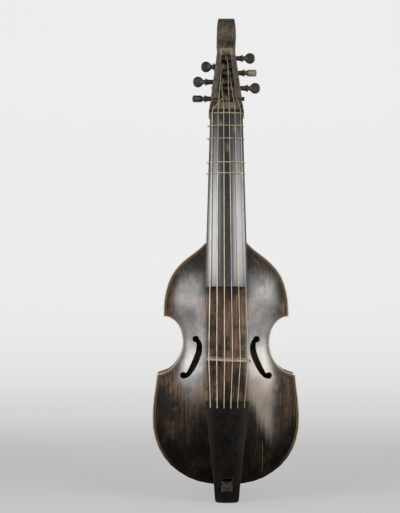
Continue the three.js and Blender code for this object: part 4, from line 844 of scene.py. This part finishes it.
neck_seat = Matrix.Translation((0, -NUT_DEPTH, BODY_FOOT + NUT_HEIGHT)) @ Matrix.Rotation(-NECK_LEAN, 4, "X")
head_seat = Matrix.Translation((0, -NUT_DEPTH, BODY_FOOT + NUT_HEIGHT)) @ Matrix.Rotation(-HEAD_LEAN, 4, "X")
tailpiece_span = Vector((TAILPIECE_TOP_DEPTH - TAILPIECE_BOTTOM_DEPTH, TAILPIECE_TOP - TAILPIECE_BOTTOM))
tailpiece_seat = Matrix.Translation((TAILPIECE_SHIFT, -TAILPIECE_BOTTOM_DEPTH, BODY_FOOT + TAILPIECE_BOTTOM)) \
    @ Matrix.Rotation(math.atan2(tailpiece_span.x, tailpiece_span.y), 4, "X")


def arc_drop(half_width, radius=BOARD_RADIUS):
    return radius - math.sqrt(radius ** 2 - half_width ** 2)


def nut_top(x):
    return BOARD_EDGE + NUT_RISE + arc_drop(BOARD_WIDTH_AT_NUT / 2) - arc_drop(abs(x))


def across(string, spacing):
    return (string - (len(STRING_DIAMETERS) - 1) / 2) * spacing


def winding_start(place):
    """A peg's seat in the head's frame, and the radius, angle and place where the string meets its winding."""
    string, share = WINDINGS[place]
    seat = head_seat.inverted() @ Vector(hinges[place]["pos_m"])
    x = across(string, SPACING_AT_NUT)
    nut_point = head_seat.inverted() @ neck_seat @ Vector((x, -nut_top(x), NUT_THICKNESS))
    radius = PEG_MIDDLE_RADIUS + SEAT_GAP + STRING_DIAMETERS[string] / 2
    away = Vector((nut_point.y - seat.y, nut_point.z - seat.z))
    angle = math.atan2(away.y, away.x) - math.acos(radius / away.length)
    touch = Vector((share * CHANNEL_HALF_WIDTH, seat.y + radius * math.cos(angle), seat.z + radius * math.sin(angle)))
    return seat, radius, angle, touch, (nut_point - touch).normalized()


def string_route(place):
    """A string from its hole in the tailpiece over the bridge and the nut to its peg."""
    string = WINDINGS[place][0]
    diameter = STRING_DIAMETERS[string]
    x = across(string, SPACING_AT_TAILPIECE)
    surface = TAILPIECE_CROWN * (x / TAILPIECE_HALF_WIDTH) ** 2
    over = surface - diameter / 2 - SEAT_GAP
    hole = tailpiece_span.length - STRING_HOLE_DROP
    in_tailpiece = [
        (x, TAILPIECE_CROWN + TAILPIECE_EDGE, hole), (x, surface, hole), (x, over, hole + diameter),
        (x, over, tailpiece_span.length),
    ]
    route = [tailpiece_seat @ Vector(point) for point in in_tailpiece]
    x = across(string, SPACING_AT_BRIDGE)
    rise = BELLY_TOP + BRIDGE_RISE - arc_drop(abs(x), BRIDGE_RADIUS) + diameter / 2 + SEAT_GAP
    turned = Matrix.Rotation(BRIDGE_TURN, 4, "Y") @ Vector((x, -rise, 0))
    route.append(turned + Vector((BRIDGE_SHIFT, 0, BODY_FOOT + BRIDGE_HEIGHT)))
    x = across(string, SPACING_AT_NUT)
    route += [neck_seat @ Vector((x, -nut_top(x), 0)), neck_seat @ Vector((x, -nut_top(x), NUT_THICKNESS))]
    _, radius, _, touch, towards_nut = winding_start(place)
    clear = math.sqrt(diameter ** 2 + 2 * radius * diameter) + SEAT_GAP
    return route + [head_seat @ (touch + towards_nut * clear)]


def winding_route(place):
    """The turns of a string on its peg, with one diameter of straight string at each end."""
    seat, radius, angle, touch, towards_nut = winding_start(place)
    diameter = STRING_DIAMETERS[WINDINGS[place][0]]
    step = (diameter + WINDING_GAP) / TURN_STEPS * (1 if place.startswith("left") else -1)
    points = [touch + towards_nut * diameter]
    for i in range(round(TURN_STEPS * WINDING_TURNS) + 1):
        turned = angle - 2 * math.pi * i / TURN_STEPS
        points.append(Vector((
            touch.x + step * i, seat.y + radius * math.cos(turned), seat.z + radius * math.sin(turned),
        )))
    last = angle - 2 * math.pi * WINDING_TURNS
    points.append(points[-1] + Vector((0, math.sin(last), -math.cos(last))) * diameter)
    return [head_seat @ point for point in points]


for place, (string, _) in WINDINGS.items():
    diameter = STRING_DIAMETERS[string]
    gut_line(f"gut_string_{string + 1}", string_route(place), diameter, "root", f"string_{string + 1}")
    gut_line(f"gut_winding_{place}", winding_route(place), diameter, "peg_" + place, "winding_" + place,
             material=shaded_wound_gut)

FRET_NUMBERS = (1, 2, 4, 5)
FRET_GUT = 1 * MM
FRET_KNOT_RADIUS = 0.75 * MM
FRET_TAIL = 2.4 * MM
FRET_FRONT_STEPS = 18
FRET_BACK_STEPS = 24
KNOT_STEPS = 16


def fret_loop(number):
    """The ring of gut tied round the neck at a fret's place, and the place of its knot on the bass side."""
    drop = BELLY_TOP + BRIDGE_RISE - NUT_DEPTH - nut_top(0) * math.cos(NECK_LEAN)
    string_length = math.hypot(NUT_HEIGHT - BRIDGE_HEIGHT, drop)
    along = string_length * (1 - 2 ** (-number / 12))
    heel_start = (NUT_HEIGHT - BODY_LENGTH) / math.cos(NECK_LEAN) - HEEL_LENGTH
    out = SEAT_GAP + FRET_GUT / 2
    down = along / BOARD_LENGTH
    half = (BOARD_WIDTH_AT_NUT + (BOARD_WIDTH_AT_END - BOARD_WIDTH_AT_NUT) * down) / 2 + out
    edge = BOARD_EDGE + BOARD_WEDGE * down + out
    depth = NECK_DEPTH_AT_NUT + (NECK_DEPTH_AT_HEEL - NECK_DEPTH_AT_NUT) * min(1, along / heel_start) + out
    points = []
    for i in range(FRET_FRONT_STEPS + 1):
        x = half * (1 - 2 * i / FRET_FRONT_STEPS)
        points.append(Vector((x, -edge - arc_drop(half) + arc_drop(abs(x)), -along)))
    for i in range(FRET_BACK_STEPS + 1):
        angle = math.pi * (1 - i / FRET_BACK_STEPS)
        points.append(Vector((half * math.cos(angle), depth * math.sin(angle), -along)))
    return points, Vector((-half - FRET_KNOT_RADIUS, -edge / 2, -along))


for number in FRET_NUMBERS:
    body = f"fret_{number}"
    points, knot = fret_loop(number)
    gut_line(f"gut_fret_{number}", [neck_seat @ point for point in points], FRET_GUT, body, body, closed=True)
    tie = []
    for i in range(2 * KNOT_STEPS + 1):
        angle = 2 * math.pi * i / KNOT_STEPS
        turn = Vector((math.cos(angle), math.sin(angle), i / KNOT_STEPS - 1))
        tie.append(neck_seat @ (knot + turn * FRET_KNOT_RADIUS))
    gut_line(f"gut_fret_knot_{number}", tie, FRET_GUT, body)
    for end, lean in enumerate((0.5, -0.7)):
        middle = knot + Vector((-0.4, lean / 3, 0.65 * lean)) * FRET_TAIL
        tip = knot + Vector((-1, lean / 2, lean)) * FRET_TAIL
        tail = [neck_seat @ point for point in (knot, middle, tip)]
        gut_line(f"gut_fret_end_{number}_{end}", tail, FRET_GUT * 0.7, body)


# Light: a tall softbox on each side of the camera, and a dim room

SOFTBOX_SIZE = (0.9, 1.4)
SOFTBOX_PLACE = (0.94, -1.24, 0.72)
SOFTBOX_POWER = 19.0
for name, side in (("left", -1), ("right", 1)):
    bpy.ops.object.light_add(type="AREA", location=(side * SOFTBOX_PLACE[0], *SOFTBOX_PLACE[1:]))
    softbox = bpy.context.object
    softbox.name = "softbox_" + name
    softbox.data.shape = "RECTANGLE"
    softbox.data.size, softbox.data.size_y = SOFTBOX_SIZE
    softbox.data.energy = SOFTBOX_POWER
    aim = Vector((0, 0, SOFTBOX_PLACE[2])) - softbox.location
    softbox.rotation_euler = aim.to_track_quat("-Z", "Y").to_euler()

room = bpy.data.worlds.new("dim_room")
room.use_nodes = True
background = room.node_tree.nodes["Background"]
background.inputs["Color"].default_value = (0.5, 0.5, 0.5, 1)
background.inputs["Strength"].default_value = 0.5
bpy.context.scene.world = room


# Floor and backdrop: one pale grey sweep

FLOOR_HEIGHT = cad_box[0][2] - 1 * MM
FLOOR_FRONT = -4
FLOOR_BACK = 3.4
SWEEP_WIDTH = 12
SWEEP_HEIGHT = 4
SWEEP_BEND = 1.0
bpy.ops.mesh.primitive_plane_add(size=1, location=(0, 0, FLOOR_HEIGHT))
sweep = bpy.context.object
sweep.name = "studio_sweep"
select_only(sweep)
sweep.scale = (SWEEP_WIDTH, 1, 1)
bpy.ops.object.transform_apply(location=True, rotation=True, scale=True)
for vertex in sweep.data.vertices:
    vertex.co.y = FLOOR_BACK if vertex.co.y > 0 else FLOOR_FRONT


def select_back_edges(highest):
    """Selects the edges along the sweep's back that lie wholly under a height."""
    edit(sweep, "EDGE")
    close_edit()
    for edge in sweep.data.edges:
        ends = [sweep.data.vertices[v].co for v in edge.vertices]
        edge.select = all(end.y > FLOOR_BACK - 0.1 and end.z < highest for end in ends)
    bpy.ops.object.mode_set(mode="EDIT")


select_back_edges(SWEEP_HEIGHT)
bpy.ops.mesh.extrude_region_move(TRANSFORM_OT_translate={"value": (0, 0, SWEEP_HEIGHT)})
close_edit()
select_back_edges(0)
bpy.ops.mesh.bevel(offset=SWEEP_BEND, segments=24, affect="EDGES")
close_edit()
smooth(sweep, 60)

# Paper: matt and pale. What the camera and shiny surfaces see of it is mostly its plain colour, so that it looks
# evenly lit, and the rest takes the lamps' light and keeps the soft shadow.
PLAIN_SHARE = 0.65
PAPER_START, PAPER_END = -0.2, 3.4
material, tree, place = new_material("pale_paper")
_, depth, height = add_node(tree, "SeparateXYZ", [place]).outputs
along_floor = add_node(tree, "MapRange", (depth, PAPER_START, PAPER_END))
# The paper is one pale colour: the ramp darkens it along the floor in front and the tone below lightens it up the
# wall, as painted shade and painted light across the sweep
paper_tone_and_shade = add_node(tree, "ValToRGB", [along_floor], [
    (0.00, 0.575), (0.07, 0.56), (0.18, 0.57), (0.27, 0.61), (0.42, 0.746),
    (0.62, 0.835), (0.78, 0.9), (0.87, 0.965), (0.93, 0.98), (0.99, 0.93),
])
painted_wall_light = add_node(tree, "MapRange", (height, 0.0, 0.7, 1.0, 1.06), **SMOOTH)
paper = add_node(tree, "VectorMath", {0: paper_tone_and_shade, "Scale": painted_wall_light}, **SCALE)
shade = add_node(tree, "BsdfPrincipled", {"Base Color": paper, "Roughness": 0.9})
glow = add_node(tree, "Emission", {"Color": paper, "Strength": 1.1})
ray = add_node(tree, "LightPath").outputs
shiny = add_node(tree, "Math", (ray["Is Glossy Ray"], ray["Is Transmission Ray"]), operation="MAXIMUM")
seen = add_node(tree, "Math", (ray["Is Camera Ray"], shiny), operation="MAXIMUM")
plain = add_node(tree, "Math", (seen, PLAIN_SHARE), **MULTIPLY)
add_node(tree, "OutputMaterial", [add_node(tree, "MixShader", (plain, shade, glow))])
sweep.data.materials.append(material)
